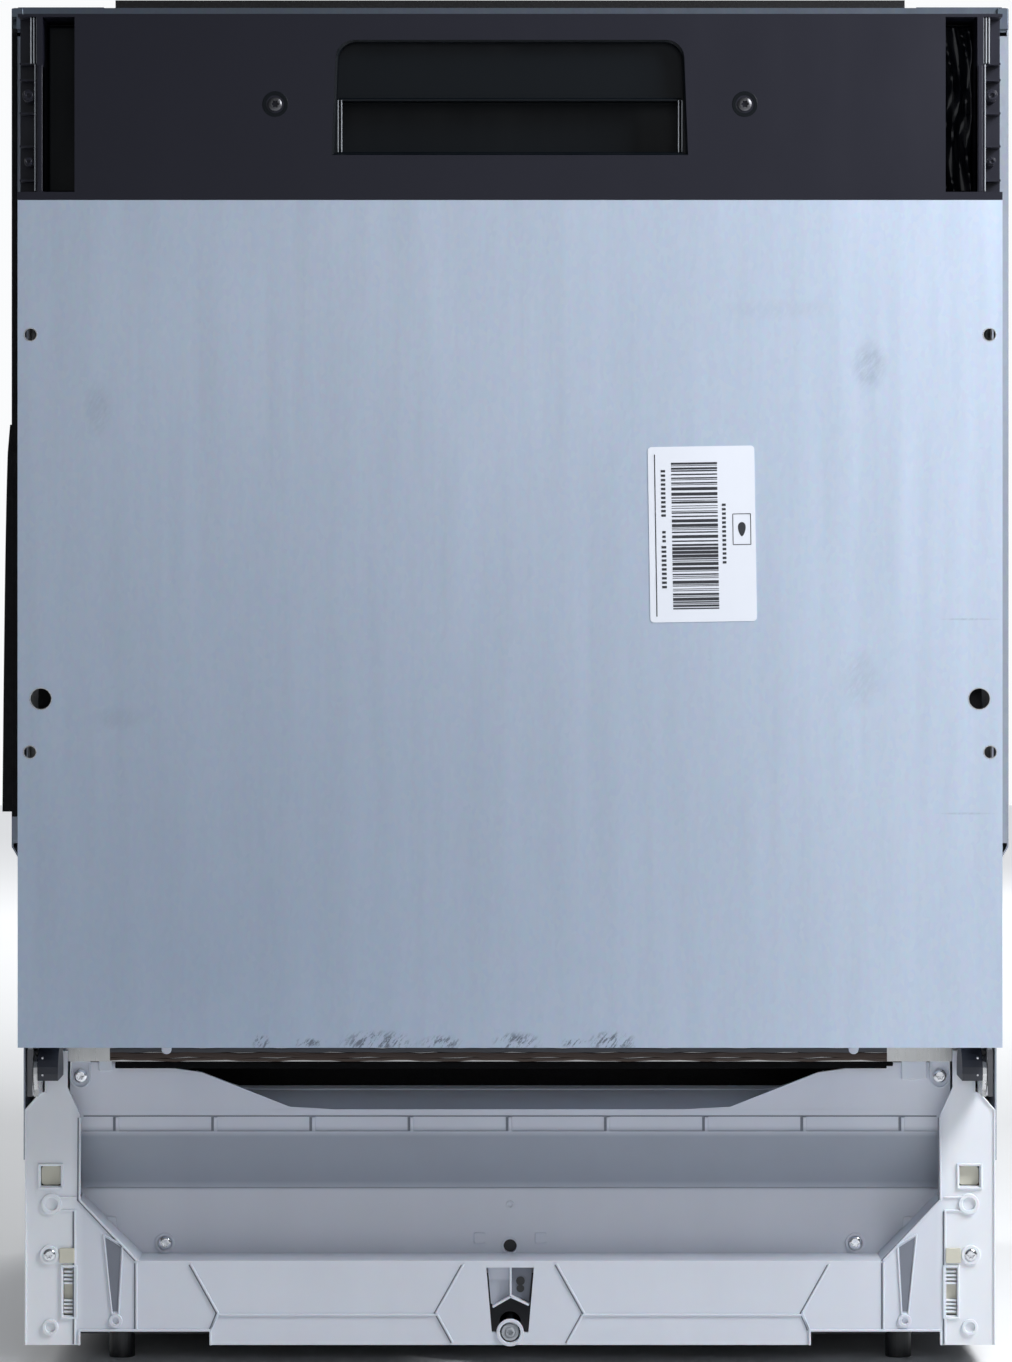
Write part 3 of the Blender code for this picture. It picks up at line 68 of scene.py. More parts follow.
class Look:
    """A Principled material and short ways to add nodes to it."""

    def __init__(self, name, colour, rough, metal=0.0, **sockets):
        self.material = bpy.data.materials.new(name)
        self.material.use_nodes = True
        self.tree = self.material.node_tree
        self.shader = self.tree.nodes["Principled BSDF"]
        self.shader.inputs["Base Color"].default_value = (*colour, 1)
        self.shader.inputs["Roughness"].default_value = rough
        self.shader.inputs["Metallic"].default_value = metal
        for socket, value in sockets.items():
            self.shader.inputs[socket.replace("_", " ")].default_value = value
        self.place = self.tree.nodes.new("ShaderNodeTexCoord").outputs["Object"]
        self.height = None

    def node(self, kind, **inputs):
        made = self.tree.nodes.new(kind)
        for name, value in inputs.items():
            self.feed(made.inputs[name.replace("_", " ")], value)
        return made

    def feed(self, socket, value):
        if isinstance(value, bpy.types.NodeSocket):
            self.tree.links.new(value, socket)
        else:
            socket.default_value = value

    def math(self, operation, a, b=0.0):
        made = self.tree.nodes.new("ShaderNodeMath")
        made.operation = operation
        for socket, value in zip(made.inputs, (a, b)):
            self.feed(socket, value)
        return made.outputs[0]

    def stretched(self, scale, offset=(0, 0, 0)):
        made = self.node("ShaderNodeMapping", Vector=self.place, Scale=scale, Location=offset)
        return made.outputs[0]

    def noise(self, scale, stretch=(1, 1, 1), detail=3.0, rough=0.55, offset=(0, 0, 0)):
        place = self.stretched(stretch, offset)
        made = self.node("ShaderNodeTexNoise", Vector=place, Scale=scale, Detail=detail, Roughness=rough)
        return made.outputs["Fac"]

    def cells(self, scale, stretch=(1, 1, 1)):
        made = self.node("ShaderNodeTexVoronoi", Vector=self.stretched(stretch), Scale=scale)
        return made.outputs["Color"]

    def spread(self, value, low, high, to_low=0.0, to_high=1.0):
        made = self.node(
            "ShaderNodeMapRange", Value=value, From_Min=low, From_Max=high, To_Min=to_low, To_Max=to_high
        )
        return made.outputs["Result"]

    def mix(self, share, a, b, blend="MIX"):
        made = self.tree.nodes.new("ShaderNodeMix")
        made.data_type = "RGBA"
        made.blend_type = blend
        self.feed(made.inputs[0], share)
        for socket, value in ((made.inputs[6], a), (made.inputs[7], b)):
            self.feed(socket, (*value, 1) if isinstance(value, tuple) else value)
        return made.outputs[2]

    def colour(self, value):
        self.feed(self.shader.inputs["Base Color"], value)

    def roughness(self, value):
        self.feed(self.shader.inputs["Roughness"], value)

    def bump(self, height, strength=0.3, distance=0.0002):
        made = self.node("ShaderNodeBump", Height=height, Strength=strength, Distance=distance)
        if self.height:
            self.feed(made.inputs["Normal"], self.height)
        self.height = made.outputs[0]
        self.feed(self.shader.inputs["Normal"], self.height)

    def hatched(self):
        """Fine scratches that lean to the right."""
        made = self.node("ShaderNodeMapping", Vector=self.place)
        made.vector_type = "TEXTURE"
        made.inputs["Rotation"].default_value = (0, math.radians(38), 0)
        made.inputs["Scale"].default_value = (1 / 620, 1, 1 / 150)
        noise = self.node("ShaderNodeTexNoise", Vector=made.outputs[0], Scale=1.0, Detail=4.0,
                          Roughness=0.75)
        return noise.outputs["Fac"]

    def spot(self, centre, radii, core=0.45):
        """1 at a place on the surface, falling to 0 over the radii."""
        shift = tuple(-c / r for c, r in zip(centre, radii))
        scale = tuple(1 / r for r in radii)
        made = self.tree.nodes.new("ShaderNodeVectorMath")
        made.operation = "LENGTH"
        self.feed(made.inputs[0], self.stretched(scale, shift))
        return self.spread(made.outputs["Value"], 1.0, core)


def sheet_steel(name, colour, rough, metal, marks=(), painted_light=()):
    """Galvanised sheet: long vertical streaks, soft clouds, a faint spangle, broad painted light and shade,
    and small marks.
    """
    look = Look(name, colour, rough, metal)
    dark = tuple(c * 0.945 for c in colour)
    pale = tuple(min(1, c * 1.035) for c in colour)
    streak = look.noise(9.0, (9, 9, 0.55), 5.0, 0.6)
    cloud = look.noise(3.2, (1, 1, 0.7), 3.0, 0.5, (3, 1, 2))
    base = look.mix(look.spread(streak, 0.32, 0.7), dark, pale)
    base = look.mix(look.spread(cloud, 0.35, 0.68, 0, 0.55), base,
                    (colour[0] * 0.9, colour[1] * 0.94, colour[2] * 0.95))
    grain = look.cells(420.0, (1, 1, 0.6))
    base = look.mix(0.045, base, grain, "OVERLAY")
    fine = look.noise(160.0, (1, 1, 0.04), 2.0)
    base = look.mix(look.spread(fine, 0.3, 0.8, 0, 0.22), base, pale)
    # painted light and shade: broad spots that darken and lighten the colour
    for centre, radii, tint in painted_light:
        base = look.mix(look.spot(centre, radii, 0.0), base, look.mix(1.0, base, tint, "MULTIPLY"))
    for centre, radii, share, shade, low, high in marks:
        mask = look.math("MULTIPLY", look.spot(centre, radii), look.spread(look.hatched(), low, high))
        base = look.mix(look.math("MULTIPLY", mask, share), base, shade)
    look.colour(base)
    look.roughness(look.spread(streak, 0.3, 0.7, rough - 0.05, rough + 0.07))
    look.bump(look.noise(60.0, (1, 1, 0.3), 3.0), 0.1, 0.0004)
    look.bump(look.noise(2.2, (1, 1, 0.6), 2.0), 0.35, 0.004)
    return look.material


def moulded(name, colour, rough, vary=0.1, grain=900.0, depth=0.12, painted_light_bands=(), **sockets):
    """Moulded plastic: a fine grain, slight clouding and worn, uneven gloss.

    The listed stretches along an axis (X counts from the middle) are multiplied by a tint:
    painted light and painted shade, from how the light falls on the plastic and shows through it.
    """
    look = Look(name, colour, rough, 0.0, **sockets)
    cloud = look.noise(7.0, (1, 1, 1), 4.0, 0.6)
    flow = look.noise(30.0, (1, 1, 0.25), 3.0, 0.6, (5, 2, 1))
    base = look.mix(look.spread(cloud, 0.3, 0.7), tuple(c * (1 - vary) for c in colour), colour)
    base = look.mix(look.spread(flow, 0.4, 0.75, 0, 0.35), base,
                    tuple(min(1, c * (1 + vary)) for c in colour))
    # painted light and shade: each listed stretch multiplies the colour
    for axis, low, high, soft, tint in painted_light_bands:
        parts = look.node("ShaderNodeSeparateXYZ", Vector=look.place)
        along = look.math("ABSOLUTE", parts.outputs[axis])
        inside = look.spread(along, low - soft, low + soft)
        inside = look.math("MULTIPLY", inside, look.spread(along, high - soft, high + soft, 1.0, 0.0))
        base = look.mix(inside, base, look.mix(1.0, base, tint, "MULTIPLY"))
    look.colour(base)
    look.roughness(look.spread(flow, 0.3, 0.7, rough - 0.05, rough + 0.08))
    look.bump(look.noise(grain, detail=1.0), depth, 0.00012)
    return look.material


def bare_metal(name, colour, rough, stretch=(1, 1, 1), metal=1.0):
    """Plain metal, brushed along the axis that is stretched least, with a few stains."""
    look = Look(name, colour, rough, metal)
    brushed = look.noise(220.0, stretch, 3.0, 0.6)
    stain = look.noise(14.0, (1, 1, 1), 4.0)
    base = look.mix(look.spread(stain, 0.35, 0.7), colour, tuple(c * 0.72 for c in colour))
    look.colour(base)
    look.roughness(look.spread(brushed, 0.3, 0.7, rough - 0.08, rough + 0.12))
    look.bump(brushed, 0.12, 0.0001)
    return look.material


def fibrous(name, colour, rough=0.95, scale=600.0, sheen=0.25):
    """Felt or bitumen: a rough, speckled surface."""
    look = Look(name, colour, rough, 0.0, Sheen_Weight=sheen, Sheen_Roughness=0.5, Specular_IOR_Level=0.2)
    fuzz = look.noise(scale, (1, 1, 1), 6.0, 0.8)
    patch = look.noise(18.0, (1, 1, 1), 3.0)
    base = look.mix(look.spread(fuzz, 0.3, 0.75), tuple(c * 0.5 for c in colour),
                    tuple(c * 1.7 for c in colour))
    base = look.mix(look.spread(patch, 0.4, 0.7, 0, 0.4), base, tuple(c * 1.4 for c in colour))
    look.colour(base)
    look.bump(fuzz, 0.8, 0.0006)
    return look.material


def steel_marks():
    """Finger smudges on the panel and the scuffs along its bottom edge: place, reach, share, shade, range."""
    y = DOOR_LOW.y
    top = DOOR_HIGH.z
    bottom = DOOR_LOW.z
    smudge = (0.33, 0.39, 0.48)
    faint = (0.4, 0.46, 0.56)
    soft = (0.3, 0.6)
    marks = [
        ((0.211, y, top - 0.097), (0.012, 0.05, 0.017), 0.55, smudge, *soft),
        ((0.206, y, top - 0.281), (0.014, 0.05, 0.02), 0.42, faint, *soft),
        ((-0.242, y, top - 0.123), (0.009, 0.05, 0.019), 0.45, smudge, *soft),
        ((-0.229, y, top - 0.304), (0.019, 0.05, 0.008), 0.4, smudge, *soft),
        ((0.158, y, top - 0.064), (0.04, 0.05, 0.007), 0.25, faint, *soft),
    ]
    for x, reach, high in (
        (-0.146, 0.006, 0.006),
        (-0.118, 0.012, 0.003),
        (-0.078, 0.026, 0.008),
        (-0.04, 0.014, 0.005),
        (0.004, 0.016, 0.007),
        (0.037, 0.01, 0.003),
        (0.06, 0.016, 0.008),
    ):
        marks.append(((x, y, bottom + 0.003), (reach, 0.05, high), 0.9, (0.12, 0.14, 0.18), 0.5, 0.58))
    for x, z in ((0.27, top - 0.246), (0.268, top - 0.36)):
        marks.append(((x, y, z), (0.02, 0.05, 0.0008), 0.5, smudge, *soft))
    return marks


# painted light and shade on the door sheet: darker towards the lower left, lighter on the right, where the
# light falls
DOOR_PAINTED_LIGHT = (
    ((-0.18, DOOR_LOW.y, DOOR_LOW.z + 0.04), (0.42, 0.5, 0.4), (0.74, 0.76, 0.79)),
    ((0.3, DOOR_LOW.y, DOOR_LOW.z + 0.3), (0.22, 0.5, 0.6), (1.16, 1.15, 1.14)),
)
GALVANISED = sheet_steel("galvanised", (0.105, 0.125, 0.16), 0.45, 0.6)
SIDE_STEEL = sheet_steel("side_sheet", (0.3, 0.33, 0.39), 0.46, 0.45)
DOOR_STEEL = sheet_steel("door_sheet", (0.5, 0.575, 0.7), 0.44, 0.35, steel_marks(), DOOR_PAINTED_LIGHT)
STAINLESS = bare_metal("stainless", (0.66, 0.66, 0.65), 0.3, (6, 6, 0.08))
BARE = bare_metal("bare_steel", (0.6, 0.61, 0.63), 0.3)
ZINC = bare_metal("zinc_plate", (0.7, 0.7, 0.7), 0.26)
DARK_METAL = bare_metal("dark_metal", (0.16, 0.16, 0.17), 0.42)
FASCIA = moulded("fascia_plastic", (0.0085, 0.0088, 0.0175), 0.42, 0.12, 1400.0, 0.1,
                 Specular_IOR_Level=0.35)
# the pocket plastic is darker than the fascia: painted shade in the grip recess, the left end pocket and the
# screw cups
SHADED_POCKET = moulded("pocket_plastic_painted_shade", (0.0008, 0.0026, 0.005), 0.4, 0.2, 900.0, 0.05, Specular_IOR_Level=0.22)
BLACK = moulded("black_plastic", (0.01, 0.011, 0.013), 0.38, 0.2)
DARK = moulded("dark_plastic", (0.045, 0.047, 0.055), 0.5, 0.2)
BRIGHT = bare_metal("bright_screw", (0.86, 0.87, 0.9), 0.16)
# painted light on the outer columns of the base, where light shows through the thin plastic
COLUMN_PAINTED_LIGHT = (
    ("X", 0.259, 0.4, 0.004, (1.22, 1.2, 1.15)),
)
# painted light and shade on the service panel: painted shade on its sloped strip, painted light on the strips
# below and above it and towards its ends
PANEL_PAINTED_LIGHT = (
    ("Z", PANEL_LOW.z + 0.0525, PANEL_LOW.z + 0.088, 0.0035, (0.58, 0.61, 0.64)),
    ("Z", PANEL_LOW.z + 0.0, PANEL_LOW.z + 0.051, 0.0008, (1.3, 1.28, 1.25)),
    ("Z", PANEL_LOW.z + 0.0885, PANEL_LOW.z + 0.14, 0.003, (1.32, 1.3, 1.28)),
    ("X", 0.22, 0.27, 0.025, (1.14, 1.13, 1.1)),
)
WHITE = moulded("white_plastic", (0.655, 0.685, 0.755), 0.42, 0.06, 500.0, 0.08, COLUMN_PAINTED_LIGHT,
                Subsurface_Weight=0.15, Subsurface_Scale=0.004)
PANEL = moulded("panel_plastic", (0.47, 0.495, 0.565), 0.38, 0.07, 500.0, 0.08, PANEL_PAINTED_LIGHT,
                Subsurface_Weight=0.12, Subsurface_Scale=0.004)
YELLOWED = moulded("yellowed_plastic", (0.62, 0.6, 0.5), 0.45, 0.08)
GREY = moulded("grey_plastic", (0.36, 0.38, 0.41), 0.45, 0.08)
PALE_GREY = moulded("pale_grey_plastic", (0.5, 0.52, 0.56), 0.42, 0.08)
COATING = moulded("rack_coating", (0.4, 0.43, 0.47), 0.35, 0.05, 700.0, 0.05)
RUBBER = moulded("rubber", (0.02, 0.02, 0.021), 0.62, 0.2, 700.0, 0.2)
FELT = fibrous("felt", (0.012, 0.012, 0.013))
BITUMEN = fibrous("bitumen", (0.008, 0.008, 0.009), 0.85, 180.0, 0.05)
# felt made near-black: painted shade behind the door's holes and in the gap under the door
SHADE_BLACK_FELT = fibrous("inner_felt_painted_shade", (0.0015, 0.0015, 0.0018), 0.98, 300.0, 0.0)
BRONZE = moulded("sill_sealant", (0.046, 0.027, 0.019), 0.7, 0.25, 300.0, 0.2)
BEIGE = moulded("sill_edge", (0.07, 0.048, 0.036), 0.75, 0.2, 300.0, 0.2)
PAPER = moulded("label_paper", (0.8, 0.83, 0.9), 0.55, 0.03, 900.0, 0.06)
SLATE = moulded("hinge_block_plastic", (0.03, 0.033, 0.045), 0.4, 0.2)
CHROME = bare_metal("hinge_lever", (0.84, 0.85, 0.88), 0.2, (1, 1, 0.1), 0.45)
SHADOWED = moulded("shadowed_plastic", (0.185, 0.2, 0.24), 0.55, 0.12)
INK = moulded("label_ink", (0.03, 0.032, 0.04), 0.6, 0.2)
FILM = moulded("pocket_film", (0.004, 0.005, 0.008), 0.16, 0.2, 300.0, 0.1, Specular_IOR_Level=0.4)
BOARD = moulded("circuit_board", (0.03, 0.14, 0.06), 0.45, 0.2)

# ---------------------------------------------------------------- shapes


def mesh_from(bm, name):
    made = bpy.data.meshes.new(name)
    bm.to_mesh(made)
    bm.free()
    return made


def add_box(bm, corner, opposite):
    """A box between two opposite corners, whichever is lower."""
    corner, opposite = Vector(corner), Vector(opposite)
    sides = (abs(side) for side in opposite - corner)
    place = Matrix.Translation((corner + opposite) / 2) @ Matrix.Diagonal((*sides, 1))
    bmesh.ops.create_cube(bm, size=1.0, matrix=place)


def add_rod(bm, start, end, radius, end_radius=None, segments=24):
    start, end = Vector(start), Vector(end)
    span = end - start
    turn = span.to_track_quat("Z", "Y").to_matrix().to_4x4()
    bmesh.ops.create_cone(
        bm,
        cap_ends=True,
        segments=segments,
        radius1=radius,
        radius2=radius if end_radius is None else end_radius,
        depth=span.length,
        matrix=Matrix.Translation((start + end) / 2) @ turn,
    )


def add_prism(bm, outline, low, high, axis="Y"):
    """An outline drawn out along an axis: (x, z) points along Y, (y, z) along X, (x, y) along Z."""
    order = {"X": lambda u, v, w: (w, u, v), "Y": lambda u, v, w: (u, w, v), "Z": lambda u, v,
             w: (u, v, w)}[axis]
    near = [bm.verts.new(order(u, v, low)) for u, v in outline]
    far = [bm.verts.new(order(u, v, high)) for u, v in outline]
    bm.faces.new(near)
    bm.faces.new(far[::-1])
    count = len(outline)
    for i in range(count):
        j = (i + 1) % count
        bm.faces.new((near[j], near[i], far[i], far[j]))


def add_grid(bm, rows):
    """Faces between rows of points."""
    rows = [[bm.verts.new(place) for place in row] for row in rows]
    for a, b in zip(rows, rows[1:]):
        for i in range(len(a) - 1):
            bm.faces.new((a[i], a[i + 1], b[i + 1], b[i]))


def add_hoops(bm, hoops, closed=True):
    """Faces between closed rows of points, and from the last row back to the first if closed."""
    hoops = [[bm.verts.new(place) for place in hoop] for hoop in hoops]
    for a, b in zip(hoops, hoops[1:] + hoops[:1] if closed else hoops[1:]):
        for i in range(len(a)):
            j = (i + 1) % len(a)
            bm.faces.new((a[i], a[j], b[j], b[i]))
    return hoops


def add_ring(bm, centre, inner, outer, low, high, segments=28):
    """A flat ring round an axis along Y."""
    angles = [2 * math.pi * i / segments for i in range(segments)]
    add_hoops(bm, [
        [(centre[0] + math.cos(a) * radius, y, centre[1] + math.sin(a) * radius) for a in angles]
        for radius, y in ((inner, low), (outer, low), (outer, high), (inner, high))
    ])


def piece(name, bm, material, body, bevel=0.0):
    """A finished piece that rides on a body."""
    bmesh.ops.recalc_face_normals(bm, faces=bm.faces)
    made = bpy.data.objects.new(name, mesh_from(bm, name))
    bpy.context.scene.collection.objects.link(made)
    made.data.materials.append(material)
    made.data.shade_smooth()
    made.data.set_sharp_from_angle(angle=math.radians(35))
    if bevel:
        soften(made, bevel)
    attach(made, body)
    return made


def soften(obj, width):
    """Rounds the sharp edges."""
    rounding = obj.modifiers.new("rounding", "BEVEL")
    rounding.width = width
    rounding.segments = 2
    rounding.limit_method = "ANGLE"
    rounding.angle_limit = math.radians(40)
    rounding.harden_normals = True


def wire(name, lines, radius, material, body, resolution=3):
    """Round wire along each line of points."""
    curve = bpy.data.curves.new(name, "CURVE")
    curve.dimensions = "3D"
    curve.bevel_depth = radius
    curve.bevel_resolution = resolution
    curve.use_fill_caps = True
    for points in lines:
        spline = curve.splines.new("POLY")
        spline.points.add(len(points) - 1)
        for point, place in zip(spline.points, points):
            point.co = (*place, 1)
    holder = bpy.data.objects.new(name, curve)
    bpy.context.scene.collection.objects.link(holder)
    bpy.context.view_layer.update()
    mesh = bpy.data.meshes.new_from_object(holder.evaluated_get(bpy.context.evaluated_depsgraph_get()))
    bpy.data.objects.remove(holder, do_unlink=True)
    bm = bmesh.new()
    bm.from_mesh(mesh)
    return piece(name, bm, material, body)


def bend(points, radius):
    """An open line with its corners rounded."""
    steps = 4
    points = [Vector(p) for p in points]
    made = [points[0]]
    for before, corner, after in zip(points, points[1:], points[2:]):
        a = (before - corner).normalized()
        b = (after - corner).normalized()
        reach = min(radius, (before - corner).length * 0.49, (after - corner).length * 0.49)
        start, end = corner + a * reach, corner + b * reach
        for i in range(steps + 1):
            t = i / steps
            made.append(start * (1 - t) ** 2 + corner * 2 * t * (1 - t) + end * t * t)
    made.append(points[-1])
    return made


# ---------------------------------------------------------------- CAD nodes: materials and softened edges

FINISHES = {
    GALVANISED: ("top_crossbar",),
    DOOR_STEEL: ("door_outer_panel",),
    STAINLESS: ("wash_tub", "filter_plate", "door_inner_liner"),
    SIDE_STEEL: ("left_side_panel", "right_side_panel", "top_cover", "rear_panel"),
    BARE: ("door_strike", "left_rail", "right_rail", "left_rail_guide", "right_rail_guide"),
    ZINC: ("left_hinge_bracket", "right_hinge_bracket",
           "left_balance_spring", "right_balance_spring"),
    FASCIA: ("fascia",),
    SHADED_POCKET: ("grip_pocket",),
    BLACK: ("front_left_foot", "front_right_foot", "rear_foot"),
    # the base tray is dark plastic as painted shade of the inside of the base, seen through the foot cut-outs
    # and the gap
    DARK: ("base_tray", "circulation_pump", "drain_outlet", "salt_cap", "door_lock",
           "rinse_cap"),
    SLATE: ("left_hinge_cover", "right_hinge_cover"),
    CHROME: ("left_hinge_arm", "right_hinge_arm"),
    WHITE: ("base_front", "water_softener", "water_inlet"),
    PANEL: ("service_panel",),
    GREY: ("sump", "drain_pump", "micro_filter", "rear_foot_shaft", "lower_spray_arm", "upper_spray_arm",
           "rack_wheel_1", "rack_wheel_2", "rack_wheel_3", "rack_wheel_4", "feed_pipe"),
    PALE_GREY: ("cutlery_basket", "dispenser_body", "dispenser_lid", "power_button", "programme_button_1",
                "programme_button_2", "programme_button_3"),
    COATING: ("upper_rack", "lower_rack"),
    RUBBER: ("tub_seal",),
    FELT: ("top_felt_mat",),
    BOARD: ("control_board",),
}
EDGES = {
    "fascia": 0.0005, "door_outer_panel": 0.0003, "base_front": 0.0006, "service_panel": 0.0006,
    "grip_pocket": 0.0008, "top_crossbar": 0.0004, "left_side_panel": 0.0003, "right_side_panel": 0.0003,
    "cutlery_basket": 0.0006, "dispenser_body": 0.0012, "dispenser_lid": 0.0008, "power_button": 0.0006,
    "programme_button_1": 0.0006, "programme_button_2": 0.0006, "programme_button_3": 0.0006,
    "base_tray": 0.0006, "water_softener": 0.003, "top_felt_mat": 0.0015, "left_hinge_cover": 0.001,
    "right_hinge_cover": 0.001, "left_hinge_arm": 0.0004, "right_hinge_arm": 0.0004, "door_lock": 0.0008,
    "lower_spray_arm": 0.001, "upper_spray_arm": 0.001, "rear_panel": 0.0005, "tub_seal": 0.0008,
    "door_strike": 0.0003, "rinse_cap": 0.0006, "salt_cap": 0.0008, "micro_filter": 0.0006,
}
for material, names in FINISHES.items():
    for name in names:
        mesh = NODES[name].data
        mesh.materials.clear()
        mesh.materials.append(material)
for name, width in EDGES.items():
    soften(NODES[name], width)

# ---------------------------------------------------------------- screws


def star_screw(bm, x, y, z, radius, facing=-1):
    """A round-headed screw with a six-lobed recess, facing along Y."""
    lobes = 6
    count = lobes * 4
    rings = []
    for share, depth, star in (
        (1.0, 0.0, 0), (1.0, 0.3, 0), (0.86, 0.46, 0), (0.62, 0.52, 0), (0.52, 0.52, 1), (0.48, 0.16, 1),
        (0.1, 0.12, 0),
    ):
        row = []
        for i in range(count):
            a = 2 * math.pi * i / count
            lobe = 1 + 0.2 * math.cos(lobes * a) * star
            r = radius * share * lobe
            row.append((x + math.cos(a) * r, y + facing * radius * depth, z + math.sin(a) * r))
        rings.append(row)
    rings = add_hoops(bm, rings, closed=False)
    bm.faces.new(rings[-1])
    bm.faces.new(rings[0][::-1])


# ---------------------------------------------------------------- door panel


def door_panel_details():
    """The rims of the six holes, and the damping mat behind the sheet, made near-black as the painted shade
    seen through the holes.
    """
    y = DOOR_LOW.y
    half = DOOR_HIGH.x
    top = DOOR_HIGH.z
    bm = bmesh.new()
    for side in SIDES:
        for inset, drop, radius in ((0.0076, 0.079, 0.0035), (0.0136, 0.2927, 0.0061),
                                    (0.0072, 0.324, 0.0035)):
            add_ring(bm, (side * (half - inset), top - drop), radius, radius + 0.00055, y - 0.0001,
                     y + 0.0004)
    piece("panel_hole_rims", bm, ZINC, "door")

    bm = bmesh.new()
    columns, rows = 56, 96
    low = Vector((-half + 0.012, y + 0.0016, DOOR_LOW.z + 0.008))
    high = Vector((half - 0.012, y + 0.0075, top - 0.006))
    grid = []
    for r in range(rows + 1):
        line = []
        for c in range(columns + 1):
            u, v = c / columns, r / rows
            lump = 0.0011 * math.sin(u * 41 + math.sin(v * 23)) * math.sin(v * 57 + math.cos(u * 19))
            line.append((low.x + (high.x - low.x) * u, high.y - 0.0012 + lump,
                         low.z + (high.z - low.z) * v))
        grid.append(line)
    add_grid(bm, grid)
    # near-black: painted shade seen through the holes
    mat = piece("door_damping_mat", bm, SHADE_BLACK_FELT, "door")
    thick = mat.modifiers.new("thickness", "SOLIDIFY")
    thick.thickness = 0.0035
    thick.offset = 1.0 if mat.data.polygons[0].normal.y < 0 else -1.0


def turned(points, centre, angle):
    """The (x, z) points turned round a centre."""
    spin = Matrix.Rotation(angle, 2)
    return [tuple(Vector(centre) + spin @ (Vector(p) - Vector(centre))) for p in points]


def rounded_outline(low, high, radius):
    """A rectangle with round corners, as (x, z) points."""
    steps = 5
    made = []
    for cx, cz, start in (
        (high[0] - radius, high[1] - radius, 0),
        (low[0] + radius, high[1] - radius, 90),
        (low[0] + radius, low[1] + radius, 180),
        (high[0] - radius, low[1] + radius, 270),
    ):
        for i in range(steps + 1):
            a = math.radians(start + 90 * i / steps)
            made.append((cx + math.cos(a) * radius, cz + math.sin(a) * radius))
    return made


def label():
    """A paper label with bars and plain blocks in place of its print."""
    y = DOOR_LOW.y
    width, height = 0.0625, 0.103
    centre = (0.1128, DOOR_HIGH.z - 0.196)
    tilt = math.radians(0.9)
    low = (centre[0] - width / 2, centre[1] - height / 2)
    high = (centre[0] + width / 2, centre[1] + height / 2)
    bm = bmesh.new()
    add_prism(bm, turned(rounded_outline(low, high, 0.0022), centre, tilt), y - 0.00028, y - 0.00005)
    piece("label", bm, PAPER, "door")

    bm = bmesh.new()

    def block(x0, z0, x1, z1):
        corners = [(low[0] + x, low[1] + z) for x, z in ((x0, z0), (x1, z0), (x1, z1), (x0, z1))]
        add_prism(bm, turned(corners, centre, tilt), y - 0.00036, y - 0.00026)

    z = 0.0075
    while z < 0.094:
        thick = RNG.choice((0.0004, 0.0004, 0.0008, 0.0012, 0.0018))
        block(0.0135, z, 0.0405, min(z + thick, 0.095))
        z += thick + RNG.choice((0.0004, 0.0006, 0.0009, 0.0013))
    block(0.0036, 0.0035, 0.0042, 0.0985)
    for start, end, x0, x1 in (
        (0.02, 0.044, 0.0072, 0.01), (0.047, 0.054, 0.0078, 0.0098), (0.062, 0.09, 0.0074, 0.01),
        (0.034, 0.07, 0.043, 0.0452),
    ):
        z = start
        while z < end:
            block(x0, z, x1, z + 0.0014)
            z += 0.0026
    piece("label_bars", bm, INK, "door")

    bm = bmesh.new()
    mark = (low[0] + 0.0545, low[1] + 0.054)
    outer = [(mark[0] + u * 0.0052, mark[1] + v * 0.009) for u, v in CORNERS]
    for a, b in zip(outer, outer[1:] + outer[:1]):
        a, b = Vector(a), Vector(b)
        across = Vector((-(b - a).y, (b - a).x)).normalized() * 0.00022
        line = [tuple(a - across), tuple(b - across), tuple(b + across), tuple(a + across)]
        add_prism(bm, turned(line, centre, tilt), y - 0.00036, y - 0.00026)
    angles = [i * math.pi / 9 for i in range(18)]
    drop = [(mark[0] + math.sin(t) * 0.0022 * (1 - 0.35 * math.cos(t)),
             mark[1] - math.cos(t) * 0.0042) for t in angles]
    add_prism(bm, turned(drop, centre, tilt), y - 0.00036, y - 0.00026)
    piece("label_mark", bm, INK, "door")


# ---------------------------------------------------------------- fascia


